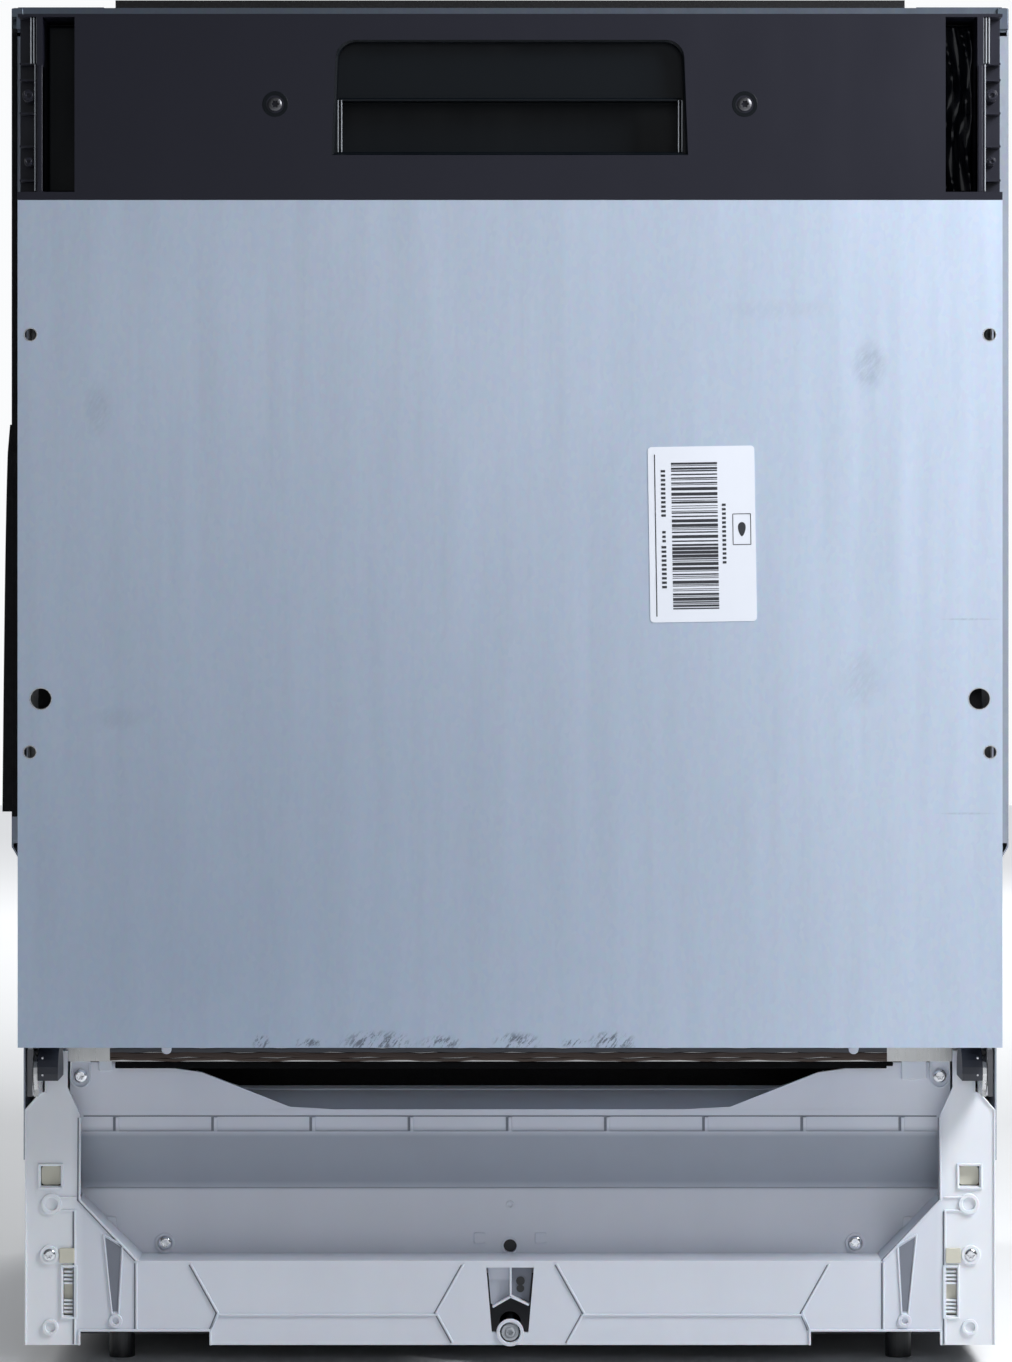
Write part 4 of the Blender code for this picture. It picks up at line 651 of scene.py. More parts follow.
def fascia_details():
    """The screws in their cups, and what lies in the channels at each end, with thin grey strips painted as
    highlights in them.
    """
    y = FASCIA_LOW.y
    half = FASCIA_HIGH.x
    top = FASCIA_HIGH.z
    low = FASCIA_LOW.z
    screw_z = top - 0.053
    cup = bmesh.new()
    head = bmesh.new()
    for side in SIDES:
        x = side * 0.1378
        add_ring(cup, (x, screw_z), 0.0052, 0.0076, y - 0.0002, y + 0.001)
        add_rod(cup, (x, y + 0.0012, screw_z), (x, y + 0.0004, screw_z), 0.0053, 0.005)
        star_screw(head, x, y + 0.0008, screw_z, 0.004)
    piece("fascia_screw_cups", cup, SHADED_POCKET, "door", 0.0003)
    piece("fascia_screws", head, DARK_METAL, "door")

    bars = bmesh.new()
    glints = bmesh.new()
    bosses = bmesh.new()
    for side in SIDES:
        inner = half - 0.0147
        outer = half - 0.0111
        add_box(bars, (side * inner, y - 0.0004, low + 0.0045),
                (side * (outer - 0.0004), y + 0.012, top - 0.03))
        # painted highlights: thin grey strips in each channel
        for offset, thick, z0, z1 in (
            (0.0112, 0.0004, top - 0.029, top - 0.002),
            (0.0094, 0.0003, top - 0.029, top - 0.002),
            (0.0077, 0.0003, top - 0.029, top - 0.002),
            (0.0101, 0.0003, low + 0.005, top - 0.0295),
        ):
            x = side * (half - offset)
            add_box(glints, (x - thick, y + 0.0006, z0), (x + thick, y + 0.012, z1))
        for drop, radius in ((0.0478, 0.0036), (0.0865, 0.0026)):
            x = side * (half - 0.0062)
            add_rod(bosses, (x, y + 0.0015, top - drop), (x, y + 0.0142, top - drop), radius, radius * 1.15)
            add_ring(bosses, (x, top - drop), radius * 0.35, radius * 0.75, y + 0.0006, y + 0.002)
    piece("fascia_rim_bars", bars, FASCIA, "door", 0.0008)
    piece("fascia_channel_painted_glints", glints, GREY, "door")
    piece("fascia_channel_bosses", bosses, FASCIA, "door", 0.0004)


def pocket_films():
    """The floor of each pocket: flat on the left, a creased film on the right; the left floor is in the
    darker pocket plastic, painted shade.
    """
    y = FASCIA_LOW.y
    half = FASCIA_HIGH.x
    top = FASCIA_HIGH.z
    low = FASCIA_LOW.z
    for side, label_ in zip(SIDES, ("left", "right")):
        bm = bmesh.new()
        near = half - 0.0147 - 0.0187 + 0.0008
        far = half - 0.0147 - 0.0008
        rows, columns = 60, 14
        grid = []
        for r in range(rows + 1):
            line = []
            for c in range(columns + 1):
                u, v = c / columns, r / rows
                crease = math.sin(u * 11 + 1.8 * math.sin(v * 7)) * (0.6 + 0.4 * math.sin(v * 17 + u * 6))
                depth = y + 0.0245 + 0.0022 * crease * (1 if side > 0 else 0.0)
                line.append((side * (near + (far - near) * u), depth, low + 0.006 + (top - low - 0.01) * v))
            grid.append(line)
        add_grid(bm, grid)
        film = piece(f"pocket_film_{label_}", bm, FILM if side > 0 else SHADED_POCKET, "door")
        thick = film.modifiers.new("thickness", "SOLIDIFY")
        thick.thickness = 0.0003


def grip_details():
    """The rounded lips of the finger slot, and thin grey strips at each end of it painted as the reflections
    of its side walls.
    """
    y = FASCIA_LOW.y
    half = 0.1045
    low = GRIP_LOW.z + 0.004
    shelf = low + 0.0335
    top = GRIP_HIGH.z - 0.004
    bm = bmesh.new()
    add_rod(bm, (-half + 0.004, y + 0.0046, shelf - 0.0006), (half - 0.004, y + 0.0046, shelf - 0.0006),
            0.001, segments=16)
    add_rod(bm, (-half + 0.003, y + 0.0036, low + 0.0008), (half - 0.003, y + 0.0036, low + 0.0008), 0.0012,
            segments=16)
    piece("grip_slot_lips", bm, SHADED_POCKET, "door")
    # painted reflections: thin grey strips at each end of the slot stand for the glints on its glossy side
    # walls
    bm = bmesh.new()
    for side in SIDES:
        for inset in (0.0035, 0.0055):
            x = side * (half - inset)
            add_box(bm, (x - 0.00025, y + 0.003, low + 0.002), (x + 0.00025, y + 0.006, shelf - 0.001))
    piece("grip_slot_painted_reflections", bm, GREY, "door")
    # the recess frame
    outline = grip_outline(half, low, top)
    inner = grip_outline(half - 0.0011, low + 0.0009, top - 0.0011)
    bm = bmesh.new()
    add_hoops(bm, [
        [(x, y + depth, z) for x, z in line]
        for line, depth in ((outline, 0.006), (outline, -0.0001), (inner, 0.0012), (inner, 0.006))
    ])
    piece("grip_frame", bm, SHADED_POCKET, "door")


def grip_outline(half, low, top):
    """The recess seen from the front: a straight foot, upright sides and round upper corners."""
    radius, steps = 0.0105, 6
    inner = half - 0.0022
    made = [(-half, low), (half, low)]
    for cx, start in ((inner - radius, 0), (-inner + radius, 90)):
        for i in range(steps + 1):
            a = math.radians(start + 90 * i / steps)
            made.append((cx + math.cos(a) * radius, top - radius + math.sin(a) * radius))
    return made


# ---------------------------------------------------------------- base


def line_strip(bm, points, width, low, high):
    """A narrow raised line through (x, z) points, between two depths along Y."""
    points = [Vector(p) for p in points]
    for a, b in zip(points, points[1:]):
        along = (b - a).normalized()
        across = Vector((-along.y, along.x)) * width / 2
        a, b = a - along * width * 0.4, b + along * width * 0.4
        add_prism(bm, [tuple(a - across), tuple(b - across), tuple(b + across), tuple(a + across)], low,
                  high)


def pressed(bm, side, points, width, out):
    """A line that stands out of one side of the base's wall, through (x, z) points above its foot."""
    y, z = BASE_LOW.y, BASE_LOW.z
    line_strip(bm, [(side * u, z + v) for u, v in points], width, y - out, y + 0.0005)


def base_wall_details():
    """The pressed lines, wedges and bosses of the base's front wall."""
    y = BASE_LOW.y
    z = BASE_LOW.z
    raised = bmesh.new()
    shade = bmesh.new()
    bosses = bmesh.new()
    for side in SIDES:
        lines = (
            ((0.1909, 0.048), (0.1748, 0.0193), (0.179, 0.0092)),
            ((0.1748, 0.0181), (0.044, 0.0181)),
            ((0.0281, 0.048), (0.0443, 0.0193)),
            ((0.0434, 0.0181), (0.0344, 0.0018)),
            ((0.2236, 0.049), (0.2236, 0.01)),
            ((0.2604, 0.08), (0.2604, 0.001)),
            ((0.2574, 0.136), (0.2577, 0.0869), (0.2236, 0.0508)),
        )
        for points in lines:
            pressed(raised, side, points, LINE_WIDTH, 0.0011)
            line_strip(shade, [(side * u - 0.0011, z + v - 0.0003) for u, v in points], 0.0007, y - 0.0002,
                       y + 0.0004)
        pressed(raised, side, ((0.1748, 0.0181), (0.179, 0.0095)), LINE_WIDTH, 0.0011)
        # wedge pockets beside the feet
        wedge = [(0.2433, 0.066), (0.2318, 0.06), (0.2343, 0.0185), (0.2383, 0.0185)]
        pressed(raised, side, wedge + wedge[:1], 0.001, 0.0009)
        add_prism(shade,
                [(side * (0.2375 + (u - 0.2375) * 0.8), z + 0.04 + (v - 0.04) * 0.93) for u, v in wedge],
                y - 0.0002, y + 0.0004)
        add_ring(bosses, (side * 0.2361, z + 0.0145), 0.0019, 0.0041, y - 0.0014, y + 0.0005)
        # windows, their frames, and the bosses above and below the slots
        for u, v, half_u, half_v in ((0.275, 0.101, 0.0071, 0.0071), (0.264, 0.0318, 0.0044, 0.0155)):
            loop = [(u + a * half_u, v + b * half_v) for a, b in CORNERS]
            pressed(raised, side, loop + loop[:1], LINE_WIDTH, 0.0012)
        for u, v, radius in ((0.2745, 0.0845, 0.0062), (0.2751, 0.0108, 0.0048), (0.2757, 0.054, 0.0058)):
            add_ring(bosses, (side * u, z + v), radius * 0.62, radius, y - 0.0015, y + 0.0005)
        for v in (0.0885, 0.0805):
            pressed(raised, side, ((0.2712, v), (0.26, v)), 0.001, 0.001)
        # the column's outer rim
        rim = [(0.2899, 0.0006), (0.2899, 0.1405), (0.2812, 0.1506), (0.278, 0.1512), (0.278, 0.1755)]
        pressed(raised, side, rim, 0.0011, 0.0009)
        # foot cut-out
        cut = [(0.1793, 0.0005), (0.1793, 0.0088), (0.2579, 0.0088), (0.2579, 0.0005)]
        pressed(raised, side, cut, 0.0014, 0.0012)
    piece("base_pressed_lines", raised, WHITE, "cabinet", 0.0004)
    piece("base_line_shadows", shade, SHADOWED, "cabinet")
    piece("base_bosses", bosses, WHITE, "cabinet", 0.0004)


def base_window_details():
    """What shows through the windows and slots of the columns, and the screws between them."""
    y, z = BASE_LOW.y, BASE_LOW.z
    cells = bmesh.new()
    for near, far in ((-0.2809, -0.2691), (0.2691, 0.2809)):
        outline = rounded_outline((near, z + 0.0953), (far, z + 0.1067), 0.002)
        add_prism(cells, outline, y + 0.0034, y + 0.005)
    for side in SIDES:
        add_box(cells, (side * 0.2697, y - 0.0018, z + 0.0492), (side * 0.2607, y + 0.0004, z + 0.0581))
        add_box(cells, (side * 0.2606, y + 0.0034, z + 0.0178), (side * 0.2674, y + 0.005, z + 0.0458))
    piece("base_window_backs", cells, YELLOWED, "cabinet", 0.0003)

    ribs = bmesh.new()
    for side in SIDES:
        for low, high in ((0.0362, 0.0455), (0.0192, 0.0282)):
            step = (high - low) / 4
            for i in range(4):
                near = (side * 0.2608, y + 0.0006, z + low + step * i)
                add_box(ribs, near, (side * 0.2672, y + 0.0036, z + low + step * (i + 0.55)))
    piece("base_slot_ribs", ribs, WHITE, "cabinet", 0.0002)

    heads = bmesh.new()
    for side in SIDES:
        star_screw(heads, side * 0.2757, y - 0.0004, z + 0.054, 0.0036)
    piece("base_column_screws", heads, BRIGHT, "cabinet")


def adjuster_details():
    """The pocket above the rear foot's adjuster, with its Y ribs, and the collar round the spindle."""
    y = BASE_LOW.y
    z = BASE_LOW.z
    ribs = bmesh.new()
    for points in (
        ((0.0003, 0.048), (0.0003, 0.0288), (-0.01, 0.0228)),
        ((0.0003, 0.0288), (0.0108, 0.024)),
    ):
        line_strip(ribs, [(u, z + v) for u, v in points], 0.0013, y + 0.0002, y + 0.006)
    add_ring(ribs, (0, SPINDLE_HIGH.z / 2 + SPINDLE_LOW.z / 2), 0.0062, 0.0082, y - 0.0012, y + 0.001)
    piece("adjuster_pocket_ribs", ribs, WHITE, "cabinet", 0.0003)
    cells = bmesh.new()
    add_prism(cells,
            [(-0.0134, z + 0.046), (-0.0004, z + 0.046), (-0.0004, z + 0.0286), (-0.01, z + 0.023),
             (-0.0115, z + 0.024)], y + 0.0052, y + 0.006)
    piece("adjuster_pocket_floor", cells, PANEL, "cabinet")
    dark = bmesh.new()
    add_prism(dark, [(0.001, z + 0.046), (0.0134, z + 0.046), (0.0112, z + 0.025), (0.001, z + 0.029)],
              y + 0.0052, y + 0.006)
    piece("adjuster_pocket_shade", dark, SHADOWED, "cabinet")
    # painted shade: black discs for the keyhole in the pocket
    holes = bmesh.new()
    for v, radius in ((0.0375, 0.0026), (0.033, 0.0023)):
        add_rod(holes, (0.0062, y + 0.0046, z + v), (0.0062, y + 0.0054, z + v), radius)
    piece("adjuster_pocket_keyhole_shade", holes, BLACK, "cabinet")
    middle = (SPINDLE_LOW.z + SPINDLE_HIGH.z) / 2
    front = SPINDLE_LOW.y
    cross = bmesh.new()
    add_ring(cross, (0, middle), 0.0034, 0.005, front - 0.0006, front + 0.001)
    star_screw(cross, 0, front + 0.0004, middle, 0.0031)
    piece("adjuster_head", cross, GREY, "rear_foot_shaft", 0.0002)


def service_panel_details():
    """Ribs along its upper strip, the screws in their dimples, the clips and the small marks."""
    y = PANEL_LOW.y
    flat = PANEL_LOW.y + PANEL_STEP
    z = PANEL_LOW.z
    ribs = bmesh.new()
    shade = bmesh.new()
    pitch = 0.059
    for i in range(-4, 5):
        x = i * pitch
        add_box(ribs, (x - 0.001, y - 0.001, z + 0.0884), (x + 0.001, y + 0.0006, z + 0.0968))
        add_box(shade, (x - 0.0026, y - 0.0003, z + 0.0884), (x - 0.001, y + 0.0006, z + 0.0968))
    line_strip(shade, [(-0.256, z + 0.0974), (0.256, z + 0.0974)], 0.0007, y - 0.0002, y + 0.0005)
    line_strip(ribs, [(-0.256, z + 0.0882), (0.256, z + 0.0882)], 0.0008, y - 0.0006, y + 0.0005)
    line_strip(ribs, [(-0.256, z + 0.0512), (0.256, z + 0.0512)], 0.0007, flat - 0.0006, flat + 0.0004)
    piece("service_panel_ribs", ribs, PANEL, "cabinet", 0.0003)
    piece("service_panel_rib_shadows", shade, SHADOWED, "cabinet")

    rims = bmesh.new()
    heads = bmesh.new()
    for side in SIDES:
        x = side * 0.209
        add_ring(rims, (x, z + 0.0181), 0.0044, 0.006, flat - 0.001, flat + 0.0006)
        star_screw(heads, x, flat - 0.0002, z + 0.0181, 0.004)
        x = side * 0.2411
        low, high = (x - 0.003, z + 0.0268), (x + 0.003, z + 0.034)
        add_prism(rims, rounded_outline(low, high, 0.0012), flat - 0.0022, flat + 0.0004)
        line_strip(rims, [(x - 0.005, z + 0.0262), (x + 0.005, z + 0.0262)], 0.0008, flat - 0.001,
                   flat + 0.0004)
        for inner in (0.1529, 0.1663):
            add_box(rims, (side * inner - 0.001, flat - 0.003, z + 0.0004),
                    (side * inner + 0.001, flat + 0.0004, z + 0.009))
        add_box(rims, (side * 0.1529, flat - 0.0026, z + 0.0004),
                (side * 0.1663, flat + 0.0004, z + 0.0026))
        line_strip(rims,
                rounded_outline((side * 0.0185 - 0.0032, z + 0.0178), (side * 0.0185 + 0.0032, z + 0.0242),
                                0.0008), 0.0006, flat - 0.0004, flat + 0.0003)
    add_ring(rims, (0, z + 0.0411), 0.0012, 0.0026, flat - 0.0006, flat + 0.0004)
    add_ring(rims, (0, z + 0.0163), 0.004, 0.0052, flat - 0.0006, flat + 0.0004)
    piece("service_panel_clips", rims, PANEL, "cabinet", 0.0003)
    piece("service_panel_screws", heads, BRIGHT, "cabinet")
    # painted shade: a black disc behind the hole in the panel
    hole = bmesh.new()
    add_rod(hole, (0, flat + 0.003, z + 0.0163), (0, flat + 0.004, z + 0.0163), 0.006)
    piece("service_panel_hole_shade", hole, BLACK, "cabinet")


def sill_strips():
    """Three uneven lines of sealant under the door."""
    y = TUB_LOW.y
    z = TUB_LOW.z
    for name, low, high, out, material in (
        ("sill_upper_line", 0.0052, 0.0084, 0.0006, DARK),
        ("sill_sealant", 0.0022, 0.0056, 0.001, BRONZE),
        ("sill_lower_line", 0.0004, 0.0024, 0.0007, BEIGE),
    ):
        bm = bmesh.new()
        columns = 60
        rows = []
        for v, depth in ((low, 0.0), (low + 0.0003, -out), ((low + high) / 2, -out * 1.3),
                         (high - 0.0003, -out), (high, 0.0)):
            row = []
            for c in range(columns + 1):
                x = -0.24 + 0.466 * c / columns
                wander = 0.00035 * math.sin(c * 0.9 + low * 900) + 0.0002 * math.sin(c * 2.3)
                row.append((x, y - 0.0001 + depth + wander * 0.5, z + v + wander))
            rows.append(row)
        add_grid(bm, rows)
        piece(name, bm, material, "cabinet")


def sill_details():
    """The two screws in their dishes, the black sheets painted as the shade in the gap, the plate behind the
    panel and the guide blocks.
    """
    y = TUB_LOW.y
    z = TUB_LOW.z
    face = PANEL_LOW.y + 0.0001
    dishes = bmesh.new()
    heads = bmesh.new()
    for side in SIDES:
        x = side * 0.2582
        centre_z = z - 0.009
        outline = [(x - 0.0056, centre_z + 0.0086), (x + 0.0056, centre_z + 0.0086)]
        for i in range(13):
            a = math.radians(-180 * i / 12)
            outline.append((x + math.cos(a) * 0.0058, centre_z - 0.001 + math.sin(a) * 0.006))
        line_strip(dishes, outline + outline[:1], 0.001, face - 0.0016, face + 0.0006)
        star_screw(heads, x, face - 0.0004, centre_z, 0.004)
    piece("base_shoulder_dishes", dishes, WHITE, "cabinet", 0.0003)
    piece("base_shoulder_screws", heads, BRIGHT, "cabinet")
    # painted shade: black sheets put in the gap behind the sill, where there is only shade
    felt = bmesh.new()
    add_box(felt, (-0.23, y + 0.03, z - 0.048), (0.23, y + 0.034, z - 0.0006))
    add_box(felt, (-0.23, y + 0.002, z - 0.003), (0.23, y + 0.034, z - 0.0006))
    piece("gap_painted_shade", felt, SHADE_BLACK_FELT, "cabinet", 0.0006)
    # painted shadow: a black strip along the top of the gap under the sill
    edge = bmesh.new()
    add_box(edge, (-0.237, y + 0.0004, z - 0.0042), (0.226, y + 0.004, z - 0.0004))
    piece("sill_painted_shadow", edge, SHADE_BLACK_FELT, "cabinet", 0.0005)
    plate = bmesh.new()
    rise = [(0.1547, 0.0193), (0.162, 0.0182), (0.175, 0.014), (0.1902, 0.0082)]
    outline = [(-u, z - v) for u, v in rise[::-1]] + [(u, z - v) for u, v in rise]
    outline += [(0.1902, z - 0.033), (-0.1902, z - 0.033)]
    add_prism(plate, outline, TRAY_LOW.y - 0.0014, TRAY_LOW.y - 0.0004)
    piece("service_panel_back_plate", plate, PANEL, "cabinet", 0.0004)
    blocks = bmesh.new()
    add_box(blocks, (0.235, face - 0.003, z - 0.011), (0.25, face + 0.0004, z + 0.0052))
    add_box(blocks, (-0.247, face - 0.0022, z - 0.006), (-0.239, face + 0.0004, z + 0.005))
    for side in SIDES:
        add_rod(blocks, (side * 0.206, y - 0.0018, z + 0.0075), (side * 0.206, y + 0.0002, z + 0.0075),
                0.0028, 0.0034)
    piece("sill_guide_blocks", blocks, WHITE, "cabinet", 0.0006)


def hinge_details():
    """Rivets and pressed ridges on the levers, and pins in the covers beside them."""
    rivets = bmesh.new()
    pins = bmesh.new()
    ridges = bmesh.new()
    for side, name in zip(SIDES, ("left", "right")):
        low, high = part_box(f"{name}_hinge_arm")
        face = high.x if side > 0 else low.x
        middle_y = (low.y + high.y) / 2
        for v in (0.014, 0.05, 0.082):
            add_rod(rivets, (face, middle_y, low.z + v), (face + side * 0.0009, middle_y, low.z + v), 0.004,
                    0.0032)
        add_box(ridges, (face, low.y - 0.0005, low.z + 0.0012),
                (face - side * 0.003, low.y + 0.0003, low.z + 0.029))
        cover_low, cover_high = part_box(f"{name}_hinge_cover")
        x = cover_low.x + 0.003 if side < 0 else cover_high.x - 0.003
        for drop in (0.0065, 0.0165):
            add_rod(pins, (x, cover_low.y + 0.0003, cover_high.z - drop),
                    (x, cover_low.y - 0.0008, cover_high.z - drop), 0.0009, 0.0006, 12)
    piece("hinge_rivets", rivets, BRIGHT, "door", 0.0003)
    piece("hinge_cover_pins", pins, BRIGHT, "cabinet")
    piece("hinge_edge_ridges", ridges, DARK_METAL, "door")


# ---------------------------------------------------------------- top, sides and back


def side_mat(name, face, low, high, thickness, seed):
    """A damping mat on a side panel, between two (y, z) corners: an uneven sheet with soft edges."""
    bm = bmesh.new()
    steps = 40
    sign = 1 if thickness > 0 else -1
    for layer in (0, 1):
        grid = []
        for r in range(steps + 1):
            line = []
            for c in range(steps + 1):
                u, v = c / steps, r / steps
                edge = min(u, 1 - u, v, 1 - v)
                swell = min(1.0, (edge * 18) ** 0.5) if layer else 0.0
                lump = 0.001 * math.sin(u * 13 + seed) * math.sin(v * 17 + seed * 2) * swell
                out = face + swell * thickness + sign * abs(lump)
                line.append((out, low[0] + (high[0] - low[0]) * u, low[1] + (high[1] - low[1]) * v))
            grid.append(line)
        add_grid(bm, grid)
    bmesh.ops.remove_doubles(bm, verts=bm.verts, dist=0.00001)
    piece(name, bm, BITUMEN, "cabinet")


def cabinet_details():
    """Mats on the sides with black edging on the left painted as shade, caps on the top corners, beads and
    screws on the back.
    """
    back = SIDE_HIGH.y - 0.03
    side_mat("left_side_mat", -SIDE_HIGH.x + 0.0002, (-0.195, 0.345), (0.2, 0.7), -0.0035, 1.0)
    side_mat("right_side_mat", SIDE_HIGH.x - 0.0002, (-0.14, 0.345), (back, 0.7), 0.003, 2.2)
    # the black edging that stands out of the left side at the front: a mat edge, black as painted shade of
    # the unlit left side
    bm = bmesh.new()
    outline = []
    for i in range(15):
        t = i / 14
        outline.append((0.333 + 0.232 * t, 0.0008 + 0.0046 * (1 - t) ** 0.45))
    front = SIDE_LOW.y
    for z0, z1 in zip(outline, outline[1:]):
        quad = [(-SIDE_HIGH.x + 0.0008, z0[0]), (-SIDE_HIGH.x - z0[1], z0[0]),
                (-SIDE_HIGH.x - z1[1], z1[0]), (-SIDE_HIGH.x + 0.0008, z1[0])]
        add_prism(bm, quad, front - 0.0015, front + 0.03)
    bmesh.ops.remove_doubles(bm, verts=bm.verts, dist=0.00001)
    piece("left_side_shaded_edging", bm, BITUMEN, "cabinet")
    # black strip along the left flange: painted shade of the unlit left side
    bm = bmesh.new()
    add_box(bm, (-SIDE_HIGH.x + 0.0002, front - 0.0012, 0.33),
            (-SIDE_HIGH.x + 0.0035, front + 0.0002, SIDE_HIGH.z - 0.002))
    piece("left_flange_painted_shade", bm, BITUMEN, "cabinet", 0.0004)

    corners = bmesh.new()
    screws = bmesh.new()
    for side in SIDES:
        inner = (side * (BAR_HIGH.x - 0.0055), BAR_LOW.y - 0.0012, BAR_HIGH.z - 0.014)
        add_box(corners, inner, (side * (BAR_HIGH.x + 0.0016), BAR_LOW.y + 0.014, BAR_HIGH.z - 0.001))
        # painted shade: black plugs standing for the worktop fixing holes
        x, y = side * 0.268, -0.195
        add_rod(screws, (x, y, BAR_HIGH.z - 0.0001), (x, y, BAR_HIGH.z + 0.0004), 0.003, 0.0026)
    piece("top_corner_caps", corners, GALVANISED, "cabinet", 0.0008)
    piece("worktop_fixing_hole_shade", screws, BLACK, "cabinet")

    beads = bmesh.new()
    face = BACK_HIGH.y
    for side in SIDES:
        for x in (0.11, 0.205):
            add_rod(beads, (side * x, face - 0.0016, BACK_LOW.z + 0.11),
                    (side * x, face - 0.0016, BACK_HIGH.z - 0.07), 0.0028, segments=16)
    for v in (0.16, 0.56):
        add_rod(beads, (-0.235, face - 0.0016, BACK_LOW.z + v), (0.235, face - 0.0016, BACK_LOW.z + v),
                0.0026, segments=16)
    piece("rear_panel_beads", beads, GALVANISED, "cabinet")
    heads = bmesh.new()
    for side in SIDES:
        for v in (0.05, 0.25, 0.45, 0.66):
            star_screw(heads, side * 0.272, face - 0.0002, BACK_LOW.z + v, 0.0038, 1)
    piece("rear_panel_screws", heads, DARK_METAL, "cabinet")
    heads = bmesh.new()
    for side in SIDES:
        for y in (-0.12, 0.05, 0.21):
            for v in (0.03, 0.66):
                x = side * SIDE_HIGH.x
                add_rod(heads, (x, y, SIDE_LOW.z + v), (x + side * 0.0012, y, SIDE_LOW.z + v), 0.004,
                        0.0028)
    piece("side_panel_rivets", heads, ZINC, "cabinet")


def connection_details():
    """Thread on the water inlet, ribs on the drain outlet and the cable gland between them."""
    low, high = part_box("water_inlet")
    centre = ((low.x + high.x) / 2, (low.z + high.z) / 2)
    turns, steps = 5, 24
    path = []
    for i in range(turns * steps + 1):
        a = 2 * math.pi * i / steps
        y = high.y - 0.0125 + 0.011 * i / (turns * steps)
        path.append((centre[0] + math.cos(a) * 0.0132, y, centre[1] + math.sin(a) * 0.0132))
    wire("inlet_thread", [path], 0.0006, WHITE, "cabinet", 2)
    low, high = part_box("drain_outlet")
    x = (low.x + high.x) / 2
    bm = bmesh.new()
    for i in range(4):
        y = high.y - 0.006 - 0.007 * i
        add_rod(bm, (x, y - 0.003, 0.075), (x, y, 0.075), 0.0112, 0.01)
    piece("drain_spigot_barbs", bm, DARK, "cabinet")
    gland = bmesh.new()
    y = TRAY_HIGH.y
    for radius, start, end in ((0.015, 0.0, 0.002), (0.011, 0.0015, 0.006), (0.008, 0.0055, 0.009)):
        add_rod(gland, (-0.11, y + start, 0.075), (-0.11, y + end, 0.075), radius, radius * 0.94,
                6 if radius == 0.011 else 28)
    piece("mains_gland", gland, BLACK, "cabinet", 0.0006)
    vents = bmesh.new()
    for side in SIDES:
        for i in range(6):
            z = 0.04 + 0.01 * i
            add_box(vents, (side * 0.045 - 0.022, y - 0.0002, z),
                    (side * 0.045 + 0.022, y + 0.0009, z + 0.0035))
    piece("base_tray_louvres", vents, DARK, "cabinet", 0.0005)


# ---------------------------------------------------------------- inside


def rack_lines(low, high, pitch, levels, front_dip=0.0):
    """The closed frames, uprights and floor grid of a wire basket."""
    made = []
    for z in levels:
        dip = front_dip if z == levels[-1] else 0.0
        made.append(bend([
            (0, low.y, z - dip), (low.x + 0.07, low.y, z - dip), (low.x, low.y, z), (low.x, high.y, z),
            (high.x, high.y, z),
            (high.x, low.y, z), (high.x - 0.07, low.y, z - dip), (0, low.y, z - dip),
        ], 0.022))
    count_x = round((high.x - low.x) / pitch)
    count_y = round((high.y - low.y) / pitch)
    for i in range(1, count_x):
        x = low.x + (high.x - low.x) * i / count_x
        dip = front_dip if abs(x) < high.x - 0.07 else 0.0
        made.append(bend([(x, low.y, levels[-1] - dip), (x, low.y + 0.002, levels[0]),
                          (x, high.y - 0.002, levels[0]), (x, high.y, levels[-1])], 0.014))
    for i in range(1, count_y):
        y = low.y + (high.y - low.y) * i / count_y
        made.append(bend([(low.x, y, levels[-1]), (low.x + 0.002, y, levels[0] + 0.002),
                          (high.x - 0.002, y, levels[0] + 0.002), (high.x, y, levels[-1])], 0.014))
    return made


def tine_rows(rows, floor, height, span, pitch, lean=0.0):
    """Rows of upright tines along Y at the given x places."""
    made = []
    for x in rows:
        y = span[0]
        while y < span[1]:
            made.append([(x, y, floor), (x + lean, y, floor + height * 0.9),
                         (x + lean * 1.1, y, floor + height)])
            y += pitch
    return made


